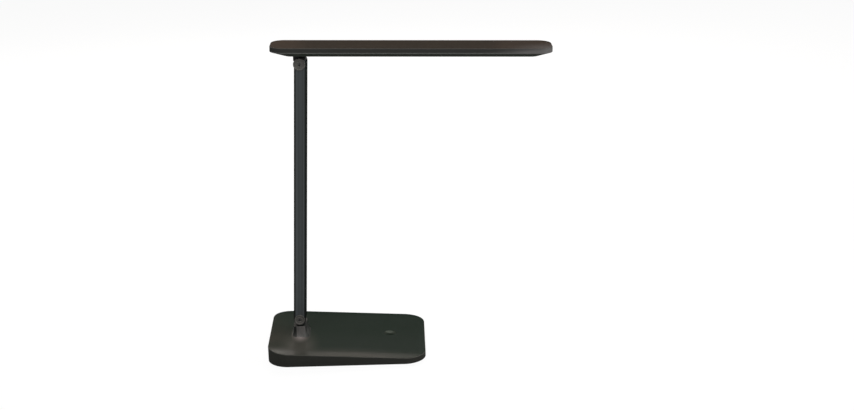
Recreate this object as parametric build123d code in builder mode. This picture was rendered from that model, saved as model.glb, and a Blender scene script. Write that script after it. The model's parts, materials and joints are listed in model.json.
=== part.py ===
# Folding LED table lamp: wedge base, upright arm on a friction hinge, flat light head.
# Millimetres. +Z is up, +X points from the arm to the far end of the head, and -Y is the front.
# The origin is on the table, under the middle of the base.
from build123d import *
from math import atan, cos, degrees, radians, sin, tan
import os

os.makedirs("parts", exist_ok=True)

# Base
base_length = 165.1
base_depth = 123.0
base_corner = 22.5
thick_end = 15.9  # top of the deck above the table at the hinge end
thin_end = 6.2  # the same at the switch end
crown_width = 14.0  # strip along the front and back edges where the deck falls away
crown_drop = 0.7
rim_round = 0.7
base_wall = 1.8
cover_clearance = 0.3  # from the table to the cover's lower edge
pad_thickness = 1.0
pad_inset = 2.5
plate_thickness = 1.4
plate_gap = 0.15

# Pose in which the lamp stands
arm_lean = 2.7  # degrees from upright, towards the head's far end
head_droop = 1.45  # degrees, far end down

# Hinges
hinge_from_end = 32.45
hinge_height = 32.5
arm_length = 277.0  # along the arm, from the lower axis to the upper
upper_axis_offset = -1.0  # the upper axis lies this far off the arm's centre line
bolt_radius = 2.0
bolt_clearance = 0.05
bolt_head_radius = 3.5
bolt_head_height = 2.0
bolt_head_gap = 0.1  # between the bolt's head or the nut and the cap's spigot
bolt_end = 0.2  # thread showing past the nut
socket_radius = 1.25
socket_depth = 1.1
nut_across = 7.0
nut_height = 2.6
spring_washer_height = 0.6
spring_washer_radius = 4.0
friction_washer_height = 0.6
friction_washer_radius = 5.4
running_gap = 0.05
eye_radius = 6.0
tongue_thickness = 8.0
counterbore_radius = 4.5
cap_height = 1.2
cap_rim = 0.9
cap_dish = 0.35
cap_spigot_wall = 0.3
cap_spigot_length = 0.9
cap_spigot_gap = 0.05
cap_hole_radius = 1.6
cap_chamfer = 0.3
lower_cap_radius = 5.5
upper_cap_radius = 6.2

# Arm
arm_width = 12.8
arm_depth = 22.0
arm_edge_round = 2.2
arm_wall = 1.3
fork_depth = 7.6  # from an axis to the floor of the slot between the ears
fork_reach = 24.0  # from an axis to the inner end of its fork insert
wire_radius = 0.6
wire_bore = 2.0
wire_spacing = 1.4
wire_end_gap = 1.0
wire_bend = 1.6
cable_radius = 0.8
cable_lift = 0.05
cable_ballast_gap = 5.0  # middle of the cable from the ballast's edge
cable_step = 2.0
cable_pad_inset = 3.6
eye_wall = 1.3  # metal left between the bolt hole and the end of a wire bore

# Pedestal moulded on the base
ear_gap = 0.9  # between the arm's round end and the pedestal
pedestal_width = 13.2
pedestal_foot = 21.0
pedestal_depth = 24.0
pedestal_straight = 3.0
pedestal_face = 9.4  # flat part of its front, between corners that grow towards the foot
foot_round = 1.2
neck_width = 9.0
slot_gap = 0.1
bracket_length = 33.0
bracket_depth = 40.0
bracket_thickness = 2.5
bracket_seat_height = 10.5
seat_margin = 0.5
seat_thickness = 2.2

# Head
head_length = 285.4
head_width = 42.0
head_corner = 13.4
head_overhang = 29.75  # from the upper axis to the short end
head_clearance = 9.3  # from the upper axis to the underside
band_height = 3.8
cover_height = 5.3
head_wall = 1.5
head_edge_round = 0.6
band_end_inset = 13.0
band_side_inset = 4.0
band_corner = 10.5
head_neck_width = 13.0
flange_length = 18.0
flange_depth = 28.0
flange_thickness = 2.0
flange_gap = 1.2
window_start = 16.0  # past the upper axis
window_from_end = 25.65
window_width = 27.0
window_corner = 3.0
neck_gap = 0.2
diffuser_gap = 0.15
diffuser_recess = 0.2
diffuser_lip = 2.0
diffuser_lip_height = 0.8
led_board_margin = 4.0  # from the window's ends
led_board_width = 24.0
led_board_thickness = 1.0
spreader_thickness = 0.9
spreader_width = 32.0
led_side = 2.8
led_height = 0.7
led_margin = 9.5  # from the light board's ends to the middle of the last LED
led_rows = 2
led_columns = 18

# Switch
key_from_end = 37.45
key_y = 5.0
key_radius = 6.3
key_gap = 0.2
key_dish_depth = 1.0
key_flange = 1.1
key_flange_bottom = 2.7  # below the deck at the middle of the key
key_seat_gap = 0.15
key_travel = 0.4
key_recess_radius = 3.7
key_recess_depth = 0.1
key_rim = 0.35
plunger_radius = 1.1
plunger_bore = 1.25
switch_side = 4.6
switch_height = 1.6
switch_floor = 0.1
plunger_end_gap = 0.05
switch_board_length = 26.0
switch_board_width = 20.0
switch_board_thickness = 0.8

# Ballast, control board and inlet
ballast_gap = 4.3  # from the hinge bracket
ballast_switch_gap = 1.4  # from the switch board
ballast_margin = 13.0  # from the base's front and back
ballast_thickness = 3.2
ballast_corner = 4.0
board_length = 21.0
board_width = 66.0
board_thickness = 1.2
board_end_gap = 0.5
jack_y = 14.0
jack_width = 9.0
jack_height = 7.8
jack_depth = 13.0
jack_bore_radius = 3.1
jack_bore_depth = 9.5
jack_pin_radius = 1.0
jack_pin_length = 8.6
jack_mouth_radius = 3.6
chip_size = (5.0, 6.2, 1.5)
inductor_size = (7.0, 7.0, 3.2)
capacitor_radius = 3.15
capacitor_height = 5.4
header_size = (4.5, 7.6, 4.0)
chip_inset = (8.2, -8.0)  # from the board's outer edge along X, and from its middle along Y
inductor_inset = (7.2, -17.0)
capacitor_inset = (7.2, -26.0)
header_inset = (7.2, 0.0)
switch_header_inset = (9.7, 28.0)
wire_lift = 1.6  # middle of the arm's wires above the control board

# Screws: shank radius, head radius, head height
small_screw = (1.1, 2.1, 1.1)
flat_screw = (1.25, 2.4, 1.2)
screw_clearance = 0.05
pilot_extra = 0.3
screw_boss_radius = 3.0
cross_width = 0.5
cross_depth = 0.5
base_screw_inset_x = 15.0
base_screw_inset_x_thin = 28.0
base_screw_inset_y = 15.0
base_screw_length = 4.6
bracket_screw_length = 5.0
bracket_screw_inset = 4.0
head_screw_from_ends = (17.25, 18.65)
head_screw_y = 6.5
head_screw_length = 6.6
neck_screw_length = 4.4
neck_screw_inset_x = 3.6
neck_screw_inset_y = 3.6
fork_screw_length = 4.0
fork_screw_at = 17.0

# Places worked out from the sizes above
near = 0.01  # how close counts as touching when edges are chosen
slope = atan((thick_end - thin_end) / base_length)
cover_floor = cover_clearance
plate_top = pad_thickness + plate_thickness
hinge_x = hinge_from_end - base_length / 2
key_x = base_length / 2 - key_from_end
ballast_start = hinge_x + bracket_length / 2 + ballast_gap
ballast_end = key_x - switch_board_length / 2 - ballast_switch_gap
ballast_depth = base_depth - 2 * ballast_margin
cable_side = ballast_depth / 2 + cable_ballast_gap
arm_half = arm_depth / 2
ear_inner = tongue_thickness / 2 + running_gap + friction_washer_height
ear_radius = arm_width / 2
pedestal_top = hinge_height - ear_radius - ear_gap
head_top = head_clearance + band_height + cover_height
head_middle = head_length / 2 - head_overhang
parting = head_clearance + band_height
frame_floor = head_clearance + head_wall
flange_bottom = frame_floor + flange_gap
flange_top = flange_bottom + flange_thickness


def deck_height(x):
    return thick_end - (x + base_length / 2) * tan(slope)


def upright_plane(origin, angle):
    """Cross-section plane whose normal leans from +Z towards +X by angle."""
    turn = radians(angle)
    return Plane(origin, x_dir=(cos(turn), 0, -sin(turn)), z_dir=(sin(turn), 0, cos(turn)))


def side_plane(origin, angle):
    """Plane seen from the front, with its up direction leaning towards +X by angle."""
    turn = radians(angle)
    return Plane(origin, x_dir=(cos(turn), 0, -sin(turn)), z_dir=(0, -1, 0))


lower_axis = Vector(hinge_x, 0, hinge_height)
base_side = side_plane(lower_axis, 0)
arm_up = upright_plane(lower_axis, arm_lean)
arm_side = side_plane(lower_axis, arm_lean)
upper_axis = arm_side.from_local_coords(Vector(upper_axis_offset, arm_length, 0))
upper_arm_side = side_plane(upper_axis, arm_lean)
head_up = upright_plane(upper_axis, head_droop)
head_side = side_plane(upper_axis, head_droop)
deck_end = Plane(
    (-base_length / 2, 0, thick_end), x_dir=(0, 1, 0), z_dir=(cos(slope), 0, -sin(slope))
)


def save(part, name):
    part.label = name
    export_step(part, f"parts/{name}.step")


# Screws stand at the origin with the shank up +Z and the head's flat face at z = 0
def cross_screw(sizes, length, countersunk=False):
    shank, head, height = sizes
    with BuildPart() as screw:
        with BuildSketch():
            Circle(head)
        extrude(amount=height, taper=45 if countersunk else 0)
        with BuildSketch():
            Circle(shank)
        extrude(amount=length)
        with BuildSketch():
            Rectangle(head, cross_width)
            Rectangle(cross_width, head)
        extrude(amount=cross_depth, mode=Mode.SUBTRACT)
    return screw.part


# The base's wedge, drawn in by inset at the sides and top_inset under the deck
def wedge(inset, top_inset, floor):
    half = base_depth / 2
    reach = 2 * base_length
    with BuildPart() as block:
        with BuildSketch(Plane.XY.offset(floor)):
            RectangleRounded(
                base_length - 2 * inset, base_depth - 2 * inset, base_corner - inset
            )
        extrude(amount=thick_end)
        with BuildSketch(deck_end):
            with BuildLine():
                Line((0, -top_inset), (half - crown_width, -top_inset))
                TangentArc(
                    (half - crown_width, -top_inset),
                    (half, -top_inset - crown_drop),
                    tangent=(1, 0),
                )
                Line((half, -top_inset - crown_drop), (half, -reach))
                Line((half, -reach), (0, -reach))
                mirror(about=Plane.YZ)
            make_face()
        extrude(amount=reach, both=True, mode=Mode.INTERSECT)
    return block.part


# How far a point lies from the base's outline, seen from above
def outline_distance(point):
    across = max(abs(point.X) - base_length / 2 + base_corner, 0)
    along = max(abs(point.Y) - base_depth / 2 + base_corner, 0)
    return abs((across**2 + along**2) ** 0.5 - base_corner)


def on_rim(edge):
    ends = [edge @ 0, edge @ 0.5, edge @ 1]
    level = max(abs((edge @ 0).Z - cover_floor), abs((edge @ 1).Z - cover_floor))
    upright = abs((edge @ 0).X - (edge @ 1).X) + abs((edge @ 0).Y - (edge @ 1).Y) < near
    return level > near and not upright and all(outline_distance(p) < near for p in ends)


base_block = wedge(0, 0, cover_floor)
base_hollow = wedge(base_wall, base_wall, cover_floor)

base_screw_spots = [
    (-base_length / 2 + base_screw_inset_x, base_depth / 2 - base_screw_inset_y),
    (-base_length / 2 + base_screw_inset_x, base_screw_inset_y - base_depth / 2),
    (base_length / 2 - base_screw_inset_x_thin, base_depth / 2 - base_screw_inset_y),
    (base_length / 2 - base_screw_inset_x_thin, base_screw_inset_y - base_depth / 2),
]
bracket_screw_spots = [
    (hinge_x + side * (bracket_length / 2 - bracket_screw_inset), y)
    for side in (-1, 1)
    for y in (
        bracket_depth / 2 - bracket_screw_inset,
        bracket_screw_inset - bracket_depth / 2,
    )
]
jack_height_middle = plate_top + board_thickness + jack_height / 2
base_end = -base_length / 2
bracket_seat = Plane((hinge_x, 0, bracket_seat_height))
pedestal_root = deck_height(hinge_x) - base_wall

# The pedestal's sides run straight down, then along an arc out to the foot
flare_start = pedestal_top - pedestal_straight
flare_width = (pedestal_foot - pedestal_width) / 2
flare_height = flare_start - pedestal_root
flare_radius = (flare_width**2 + flare_height**2) / (2 * flare_width)
flare_steps = 4


def pedestal_half(height):
    fall = flare_start - height
    return pedestal_width / 2 + flare_radius - (flare_radius**2 - fall**2) ** 0.5


flare_levels = [pedestal_root + flare_height * k / flare_steps for k in range(flare_steps + 1)]
flare_sections = [(level, pedestal_half(level)) for level in flare_levels]

# Pedestal that carries the arm, moulded with the top cover
with BuildPart() as pedestal:
    for level, half in flare_sections:
        with BuildSketch(Plane((hinge_x, 0, level))):
            RectangleRounded(
                2 * half, 2 * half + pedestal_depth - pedestal_width, half - pedestal_face / 2
            )
    loft()
    with BuildSketch(Plane((hinge_x, 0, flare_start))):
        RectangleRounded(pedestal_width, pedestal_depth, (pedestal_width - pedestal_face) / 2)
    extrude(amount=pedestal_straight)

with BuildPart() as base_top_cover:
    add(base_block)
    fillet(base_top_cover.edges().filter_by(on_rim), rim_round)
    add(pedestal.part)
    foot_edges = [
        edge
        for edge in base_top_cover.edges()
        if abs((edge @ 0).Z - deck_height((edge @ 0).X)) < near
        and abs((edge @ 1).Z - deck_height((edge @ 1).X)) < near
        and abs((edge @ 0).X - hinge_x) < pedestal_foot / 2
        and abs((edge @ 0).Y) < pedestal_depth / 2 + flare_width
    ]
    fillet(foot_edges, foot_round)
    add(base_hollow, mode=Mode.SUBTRACT)
    with BuildSketch(bracket_seat):
        Rectangle(bracket_length + 2 * seat_margin, bracket_depth + 2 * seat_margin)
    extrude(amount=seat_thickness)
    with BuildSketch(Plane.XY.offset(plate_top)):
        with Locations(*base_screw_spots):
            Circle(screw_boss_radius)
    extrude(until=Until.NEXT)
    with BuildSketch(bracket_seat):
        Rectangle(neck_width + 2 * slot_gap, tongue_thickness + 2 * slot_gap)
    extrude(amount=hinge_height, mode=Mode.SUBTRACT)
    with BuildSketch(bracket_seat):
        with Locations(*[(x - hinge_x, y) for x, y in bracket_screw_spots]):
            Circle(small_screw[0] + screw_clearance)
    extrude(
        amount=bracket_screw_length - bracket_thickness - small_screw[2] + pilot_extra,
        mode=Mode.SUBTRACT,
    )
    with BuildSketch(Plane.XY.offset(plate_top)):
        with Locations(*base_screw_spots):
            Circle(flat_screw[0] + screw_clearance)
    extrude(amount=base_screw_length - plate_thickness + pilot_extra, mode=Mode.SUBTRACT)
    with BuildSketch(Plane.XY.offset(plate_top)):
        with Locations((key_x, key_y)):
            Circle(key_radius + key_gap)
    extrude(amount=thick_end, mode=Mode.SUBTRACT)
    with BuildSketch(Plane((base_end, jack_y, jack_height_middle), x_dir=(0, 1, 0), z_dir=(1, 0, 0))):
        Circle(jack_mouth_radius)
    extrude(amount=base_wall, mode=Mode.SUBTRACT)
save(base_top_cover.part, "base_top_cover")

# Bottom plate, let into the cover and closed by countersunk screws from below
with BuildPart() as base_bottom_plate:
    with BuildSketch(Plane.XY.offset(pad_thickness)):
        RectangleRounded(
            base_length - 2 * (base_wall + plate_gap),
            base_depth - 2 * (base_wall + plate_gap),
            base_corner - base_wall - plate_gap,
        )
    extrude(amount=plate_thickness)
    with Locations(*[Location((x, y, pad_thickness), (180, 0, 0)) for x, y in base_screw_spots]):
        CounterSinkHole(
            radius=flat_screw[0] + screw_clearance,
            counter_sink_radius=flat_screw[1] + screw_clearance,
            counter_sink_angle=90,
        )
save(base_bottom_plate.part, "base_bottom_plate")

# Rubber pad over the whole underside, which hides the screws and rests on the table
with BuildPart() as nonslip_pad:
    with BuildSketch():
        RectangleRounded(
            base_length - 2 * pad_inset, base_depth - 2 * pad_inset, base_corner - pad_inset
        )
    extrude(amount=pad_thickness)
save(nonslip_pad.part, "nonslip_pad")

base_screw = cross_screw(flat_screw, base_screw_length, countersunk=True)
with BuildPart() as base_screws:
    with Locations(*[(x, y, pad_thickness) for x, y in base_screw_spots]):
        add(base_screw)
save(base_screws.part, "base_screws")

# Steel ballast on the bottom plate, between the arm and the switch
with BuildPart() as ballast_plate:
    with BuildSketch(Plane.XY.offset(plate_top)):
        with Locations(((ballast_start + ballast_end) / 2, 0)):
            RectangleRounded(ballast_end - ballast_start, ballast_depth, ballast_corner)
    extrude(amount=ballast_thickness)
save(ballast_plate.part, "ballast_plate")

# Cast bracket whose tongue stands up through the pedestal into the arm's fork.
# The wires come up its middle and leave at the side under the eye.
bore_end = hinge_height - bolt_radius - eye_wall
with BuildPart() as base_hinge_bracket:
    with BuildSketch(base_side):
        Circle(eye_radius)
        with Locations((0, (bracket_seat_height - hinge_height) / 2)):
            Rectangle(neck_width, hinge_height - bracket_seat_height)
    extrude(amount=tongue_thickness / 2, both=True)
    with BuildSketch(bracket_seat):
        Rectangle(bracket_length, bracket_depth)
    extrude(amount=-bracket_thickness)
    with BuildSketch(base_side):
        Circle(bolt_radius + bolt_clearance)
    extrude(amount=tongue_thickness / 2, both=True, mode=Mode.SUBTRACT)
    with BuildSketch(bracket_seat.offset(-bracket_thickness)):
        Circle(wire_bore)
    extrude(amount=bore_end - bracket_seat_height + bracket_thickness, mode=Mode.SUBTRACT)
    with BuildSketch(Plane((hinge_x, 0, bore_end - wire_bore), x_dir=(0, 1, 0), z_dir=(1, 0, 0))):
        Circle(wire_bore)
    extrude(amount=eye_radius, mode=Mode.SUBTRACT)
    with BuildSketch(bracket_seat):
        with Locations(*[(x - hinge_x, y) for x, y in bracket_screw_spots]):
            Circle(small_screw[0] + screw_clearance)
    extrude(amount=-bracket_thickness, mode=Mode.SUBTRACT)
save(base_hinge_bracket.part, "base_hinge_bracket")

bracket_screw = cross_screw(small_screw, bracket_screw_length)
bracket_screw_start = bracket_seat_height - bracket_thickness - small_screw[2]
with BuildPart() as base_bracket_screws:
    with Locations(*[(x, y, bracket_screw_start) for x, y in bracket_screw_spots]):
        add(bracket_screw)
save(base_bracket_screws.part, "base_bracket_screws")

# Control board along the thick end, with the power inlet at its edge
board_start = base_end + base_wall + board_end_gap
board_top = plate_top + board_thickness
board_face = Plane.XY.offset(board_top)
header_spot = (board_start + header_inset[0], header_inset[1])
switch_header_spot = (board_start + switch_header_inset[0], switch_header_inset[1])
with BuildPart() as control_board:
    with BuildSketch(Plane.XY.offset(plate_top)):
        with Locations((board_start + board_length / 2, 0)):
            Rectangle(board_length, board_width)
    extrude(amount=board_thickness)
save(control_board.part, "control_board")

jack_face = Plane((base_end + base_wall, jack_y, jack_height_middle), x_dir=(0, 1, 0), z_dir=(1, 0, 0))
with BuildPart() as power_jack:
    with BuildSketch(jack_face):
        Rectangle(jack_width, jack_height)
    extrude(amount=jack_depth)
    with BuildSketch(jack_face):
        Circle(jack_bore_radius)
    extrude(amount=jack_bore_depth, mode=Mode.SUBTRACT)
save(power_jack.part, "power_jack")

with BuildPart() as power_jack_pin:
    with BuildSketch(jack_face.offset(jack_bore_depth - jack_pin_length)):
        Circle(jack_pin_radius)
    extrude(amount=jack_pin_length)
save(power_jack_pin.part, "power_jack_pin")


def block_on_board(inset, size, name):
    with BuildPart() as block:
        with BuildSketch(board_face):
            with Locations((board_start + inset[0], inset[1])):
                Rectangle(size[0], size[1])
        extrude(amount=size[2])
    save(block.part, name)


block_on_board(chip_inset, chip_size, "driver_chip")
block_on_board(inductor_inset, inductor_size, "power_inductor")
block_on_board(header_inset, header_size, "lamp_wire_header")
block_on_board(switch_header_inset, header_size, "switch_wire_header")
with BuildPart() as filter_capacitor:
    with BuildSketch(board_face):
        with Locations((board_start + capacitor_inset[0], capacitor_inset[1])):
            Circle(capacitor_radius)
    extrude(amount=capacitor_height)
save(filter_capacitor.part, "filter_capacitor")


def cable(route, radius):
    with BuildPart() as run:
        with BuildLine() as line:
            FilletPolyline(*route, radius=wire_bend)
        with BuildSketch(Plane(line.line @ 0, z_dir=line.line % 0)):
            Circle(radius)
        sweep(path=line.line)
    return run.part


def wire_pair(route, name):
    """Two wires side by side along Y, which follow one route."""
    pair = [
        cable([Vector(p) + Vector(0, side * wire_spacing / 2, 0) for p in route], wire_radius)
        for side in (-1, 1)
    ]
    with BuildPart() as wires:
        add(pair)
    save(wires.part, name)


wire_height = board_top + wire_lift
wire_pair(
    [
        (header_spot[0] + header_size[0] / 2, header_spot[1], wire_height),
        (hinge_x, 0, wire_height),
        (hinge_x, 0, bore_end - wire_bore),
        (hinge_x + neck_width / 2, 0, bore_end - wire_bore),
    ],
    "base_wires",
)

# Cable from the control board round the ballast to the switch board
cable_floor = plate_top + cable_radius + cable_lift
cable_on_board = board_top + cable_radius + cable_lift
cable_on_switch_board = plate_top + switch_board_thickness + cable_radius + cable_lift
cable_lane = ballast_start - ballast_gap / 2
cable_end_x = key_x - switch_board_length / 2 + cable_pad_inset
board_edge = board_start + board_length
switch_board_edge = key_y + switch_board_width / 2
switch_cable = cable(
    [
        (switch_header_spot[0] + header_size[0] / 2, switch_header_spot[1], cable_on_board),
        (board_edge + cable_step, switch_header_spot[1], cable_on_board),
        (board_edge + 3 * cable_step, switch_header_spot[1], cable_floor),
        (cable_lane, switch_header_spot[1], cable_floor),
        (cable_lane, cable_side, cable_floor),
        (cable_end_x, cable_side, cable_floor),
        (cable_end_x, switch_board_edge + 3 * cable_step, cable_floor),
        (cable_end_x, switch_board_edge + cable_step, cable_on_switch_board),
        (cable_end_x, switch_board_edge - cable_pad_inset, cable_on_switch_board),
    ],
    cable_radius,
)
save(switch_cable, "switch_cable")

# Switch key in the deck: a dished button that pushes a low switch on its own small board
deck_up = upright_plane((base_end, 0, thick_end), degrees(slope))
key_top = deck_height(key_x)
key_bottom = key_top - key_flange_bottom
switch_board_top = plate_top + switch_board_thickness
key_centre = Plane((key_x, key_y, 0))


def below_deck(radius, drop):
    """Upright cylinder about the key's middle, cut off drop under the deck."""
    with BuildPart() as post:
        with BuildSketch(key_centre.offset(key_bottom)):
            Circle(radius)
        extrude(amount=thick_end)
        split(bisect_by=deck_up.offset(-drop), keep=Keep.BOTTOM)
    return post.part


key_post = below_deck(key_radius, 0)
key_skirt = below_deck(key_radius + key_gap + key_flange, base_wall + key_seat_gap)
dish_half = key_radius - key_rim
dish_radius = (dish_half**2 + key_dish_depth**2) / (2 * key_dish_depth)
dish_centre = Vector(key_x, key_y, key_top) + deck_up.z_dir * (dish_radius - key_dish_depth)
with BuildPart() as switch_key:
    add(key_post)
    add(key_skirt)
    with Locations(dish_centre):
        Sphere(dish_radius, mode=Mode.SUBTRACT)
    with BuildSketch(key_centre.offset(key_bottom)):
        Circle(key_recess_radius)
    extrude(amount=key_recess_depth, mode=Mode.SUBTRACT)
save(switch_key.part, "switch_key")

plunger_bottom = switch_board_top + switch_floor + key_travel + plunger_end_gap
with BuildPart() as switch_plunger:
    with BuildSketch(key_centre.offset(plunger_bottom)):
        Circle(plunger_radius)
    extrude(amount=key_bottom + key_recess_depth - plunger_bottom)
save(switch_plunger.part, "switch_plunger")

with BuildPart() as switch_body:
    with BuildSketch(key_centre.offset(switch_board_top)):
        Rectangle(switch_side, switch_side)
    extrude(amount=switch_height)
    with BuildSketch(key_centre.offset(switch_board_top + switch_floor)):
        Circle(plunger_bore)
    extrude(amount=switch_height - switch_floor, mode=Mode.SUBTRACT)
save(switch_body.part, "switch_body")

with BuildPart() as switch_board:
    with BuildSketch(key_centre.offset(plate_top)):
        Rectangle(switch_board_length, switch_board_width)
    extrude(amount=switch_board_thickness)
save(switch_board.part, "switch_board")

# Arm: an aluminium tube with both ends slotted into ears, and a fork insert inside each end
core_width = arm_width - 2 * arm_wall
core_depth = arm_depth - 2 * arm_wall
head_seat = arm_half - cap_spigot_length - bolt_head_gap - bolt_head_height
nut_seat = arm_half - cap_spigot_length - bolt_head_gap - nut_height - spring_washer_height
arm_ends = [(0, 0, 1), (arm_length, upper_axis_offset, -1)]


def arm_outline(half_depth):
    with BuildPart() as outline:
        with BuildSketch(arm_side):
            with Locations((0, arm_length / 2)):
                SlotCenterToCenter(arm_length, arm_width, rotation=90)
        extrude(amount=half_depth, both=True)
    return outline.part


def fork_slot(along, inward):
    """The space between the ears, from past the arm's end to the slot's floor."""
    with BuildPart() as slot:
        with BuildSketch(arm_up.offset(along - inward * arm_width)):
            Rectangle(2 * arm_width, 2 * ear_inner)
        extrude(amount=inward * (arm_width + fork_depth))
    return slot.part


tube_outline = arm_outline(arm_half)
core_outline = arm_outline(core_depth / 2)
fork_slots = [fork_slot(along, inward) for along, _, inward in arm_ends]
fork_screw_places = [
    Plane(
        arm_side.from_local_coords(Vector(0, along + inward * fork_screw_at, -arm_half)),
        x_dir=arm_side.x_dir,
        z_dir=arm_side.z_dir,
    )
    for along, _, inward in arm_ends
]

with BuildPart() as arm_tube:
    add(tube_outline)
    long_edges = [
        edge for edge in arm_tube.edges() if abs(abs(edge.center().Y) - arm_half) < near
    ]
    fillet(long_edges, arm_edge_round)
    with BuildSketch(arm_up.offset(-arm_width)):
        Rectangle(core_width, core_depth)
    extrude(amount=arm_length + 2 * arm_width, mode=Mode.SUBTRACT)
    for slot in fork_slots:
        add(slot, mode=Mode.SUBTRACT)
    for along, offset, _ in arm_ends:
        with BuildSketch(arm_side):
            with Locations((offset, along)):
                Circle(counterbore_radius)
        extrude(amount=arm_half, both=True, mode=Mode.SUBTRACT)
    for place in fork_screw_places:
        with BuildSketch(place):
            Circle(flat_screw[1] + screw_clearance)
        extrude(amount=flat_screw[2], taper=45, mode=Mode.SUBTRACT)
        with BuildSketch(place):
            Circle(flat_screw[0] + screw_clearance)
        extrude(amount=arm_wall, mode=Mode.SUBTRACT)
save(arm_tube.part, "arm_tube")


def fork_insert(along, offset, inward, slot, screw_place):
    with BuildPart() as insert:
        add(core_outline)
        with BuildSketch(arm_up.offset(along - inward * arm_width)):
            Rectangle(core_width, core_depth)
        extrude(amount=inward * (arm_width + fork_reach), mode=Mode.INTERSECT)
        add(slot, mode=Mode.SUBTRACT)
        with BuildSketch(arm_side):
            with Locations((offset, along)):
                Circle(bolt_radius + bolt_clearance)
        extrude(amount=arm_half, both=True, mode=Mode.SUBTRACT)
        with BuildSketch(arm_side.offset(head_seat)):
            with Locations((offset, along)):
                Circle(counterbore_radius)
        extrude(amount=arm_half, mode=Mode.SUBTRACT)
        with BuildSketch(arm_side.offset(-nut_seat)):
            with Locations((offset, along)):
                Circle(counterbore_radius)
        extrude(amount=-arm_half, mode=Mode.SUBTRACT)
        with BuildSketch(arm_up.offset(along)):
            Circle(wire_bore)
        extrude(amount=inward * fork_reach, mode=Mode.SUBTRACT)
        with BuildSketch(screw_place):
            Circle(flat_screw[0] + screw_clearance)
        extrude(amount=fork_screw_length + pilot_extra, mode=Mode.SUBTRACT)
    return insert.part


for name, end, slot, place in zip(
    ("lower_fork_insert", "upper_fork_insert"), arm_ends, fork_slots, fork_screw_places
):
    save(fork_insert(*end, slot, place), name)

fork_screw = cross_screw(flat_screw, fork_screw_length, countersunk=True)
with BuildPart() as fork_screws:
    with Locations(*fork_screw_places):
        add(fork_screw)
save(fork_screws.part, "fork_screws")

with BuildPart() as arm_wires:
    with BuildSketch(arm_up.offset(fork_depth + wire_end_gap)):
        with GridLocations(0, wire_spacing, 1, 2):
            Circle(wire_radius)
    extrude(amount=arm_length - 2 * (fork_depth + wire_end_gap))
save(arm_wires.part, "arm_wires")


# Bolt, nut, washers and caps of one hinge, on a plane seen from the front through its axis
def hinge_hardware(prefix, axis_plane, cap_radius):
    with BuildPart() as bolt:
        with BuildSketch(axis_plane.offset(head_seat)):
            Circle(bolt_head_radius)
        extrude(amount=bolt_head_height)
        with BuildSketch(axis_plane.offset(head_seat)):
            Circle(bolt_radius)
        extrude(amount=-(head_seat + nut_seat + spring_washer_height + nut_height + bolt_end))
        with BuildSketch(axis_plane.offset(head_seat + bolt_head_height)):
            RegularPolygon(socket_radius, 6)
        extrude(amount=-socket_depth, mode=Mode.SUBTRACT)
    save(bolt.part, f"{prefix}_bolt")
    with BuildPart() as nut:
        with BuildSketch(axis_plane.offset(-nut_seat - spring_washer_height)):
            RegularPolygon(nut_across / 2, 6, major_radius=False)
            Circle(bolt_radius, mode=Mode.SUBTRACT)
        extrude(amount=-nut_height)
    save(nut.part, f"{prefix}_nut")
    with BuildPart() as spring_washer:
        with BuildSketch(axis_plane.offset(-nut_seat)):
            Circle(spring_washer_radius)
            Circle(bolt_radius + bolt_clearance, mode=Mode.SUBTRACT)
        extrude(amount=-spring_washer_height)
    save(spring_washer.part, f"{prefix}_spring_washer")
    with BuildPart() as friction_washers:
        for start in (ear_inner - friction_washer_height, -ear_inner):
            with BuildSketch(axis_plane.offset(start)):
                Circle(friction_washer_radius)
                Circle(bolt_radius + bolt_clearance, mode=Mode.SUBTRACT)
            extrude(amount=friction_washer_height)
    save(friction_washers.part, f"{prefix}_friction_washers")
    spigot_outer = counterbore_radius - cap_spigot_gap
    for side, name in ((1, "front_cap"), (-1, "rear_cap")):
        with BuildPart() as cap:
            with BuildSketch(axis_plane.offset(side * arm_half)):
                Circle(cap_radius)
            extrude(amount=side * cap_height)
            outer = cap.edges().sort_by(Axis.Y)[0 if side > 0 else -1]
            chamfer(outer, cap_chamfer)
            with BuildSketch(axis_plane.offset(side * (arm_half + cap_height))):
                Circle(cap_radius - cap_rim)
            extrude(amount=-side * cap_dish, mode=Mode.SUBTRACT)
            with BuildSketch(axis_plane.offset(side * arm_half)):
                Circle(spigot_outer)
                Circle(spigot_outer - cap_spigot_wall, mode=Mode.SUBTRACT)
            extrude(amount=-side * cap_spigot_length)
            if side > 0:
                with BuildSketch(axis_plane.offset(arm_half)):
                    Circle(cap_hole_radius)
                extrude(amount=cap_height, mode=Mode.SUBTRACT)
        save(cap.part, f"{prefix}_{name}")


hinge_hardware("lower_hinge", arm_side, lower_cap_radius)
hinge_hardware("upper_hinge", upper_arm_side, upper_cap_radius)

# Head, laid out from the upper axis
cover_inside = head_top - head_wall
neck_screw_spots = [
    (side * (flange_length / 2 - neck_screw_inset_x), y)
    for side in (-1, 1)
    for y in (flange_depth / 2 - neck_screw_inset_y, neck_screw_inset_y - flange_depth / 2)
]
head_far_end = head_length - head_overhang
head_screw_spots = [
    (x, y)
    for x in (head_screw_from_ends[0] - head_overhang, head_far_end - head_screw_from_ends[1])
    for y in (-head_screw_y, head_screw_y)
]
floor_share = 1 - head_wall / band_height  # of the band's taper, left at its floor
cavity_corner = head_corner - (head_corner - band_corner) * floor_share - head_wall
window_length = head_far_end - window_from_end - window_start
window_middle = window_start + window_length / 2
led_board_length = window_length - 2 * led_board_margin
led_pitch = (led_board_length - 2 * led_margin) / (led_columns - 1)
led_row_pitch = led_board_width / led_rows

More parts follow.
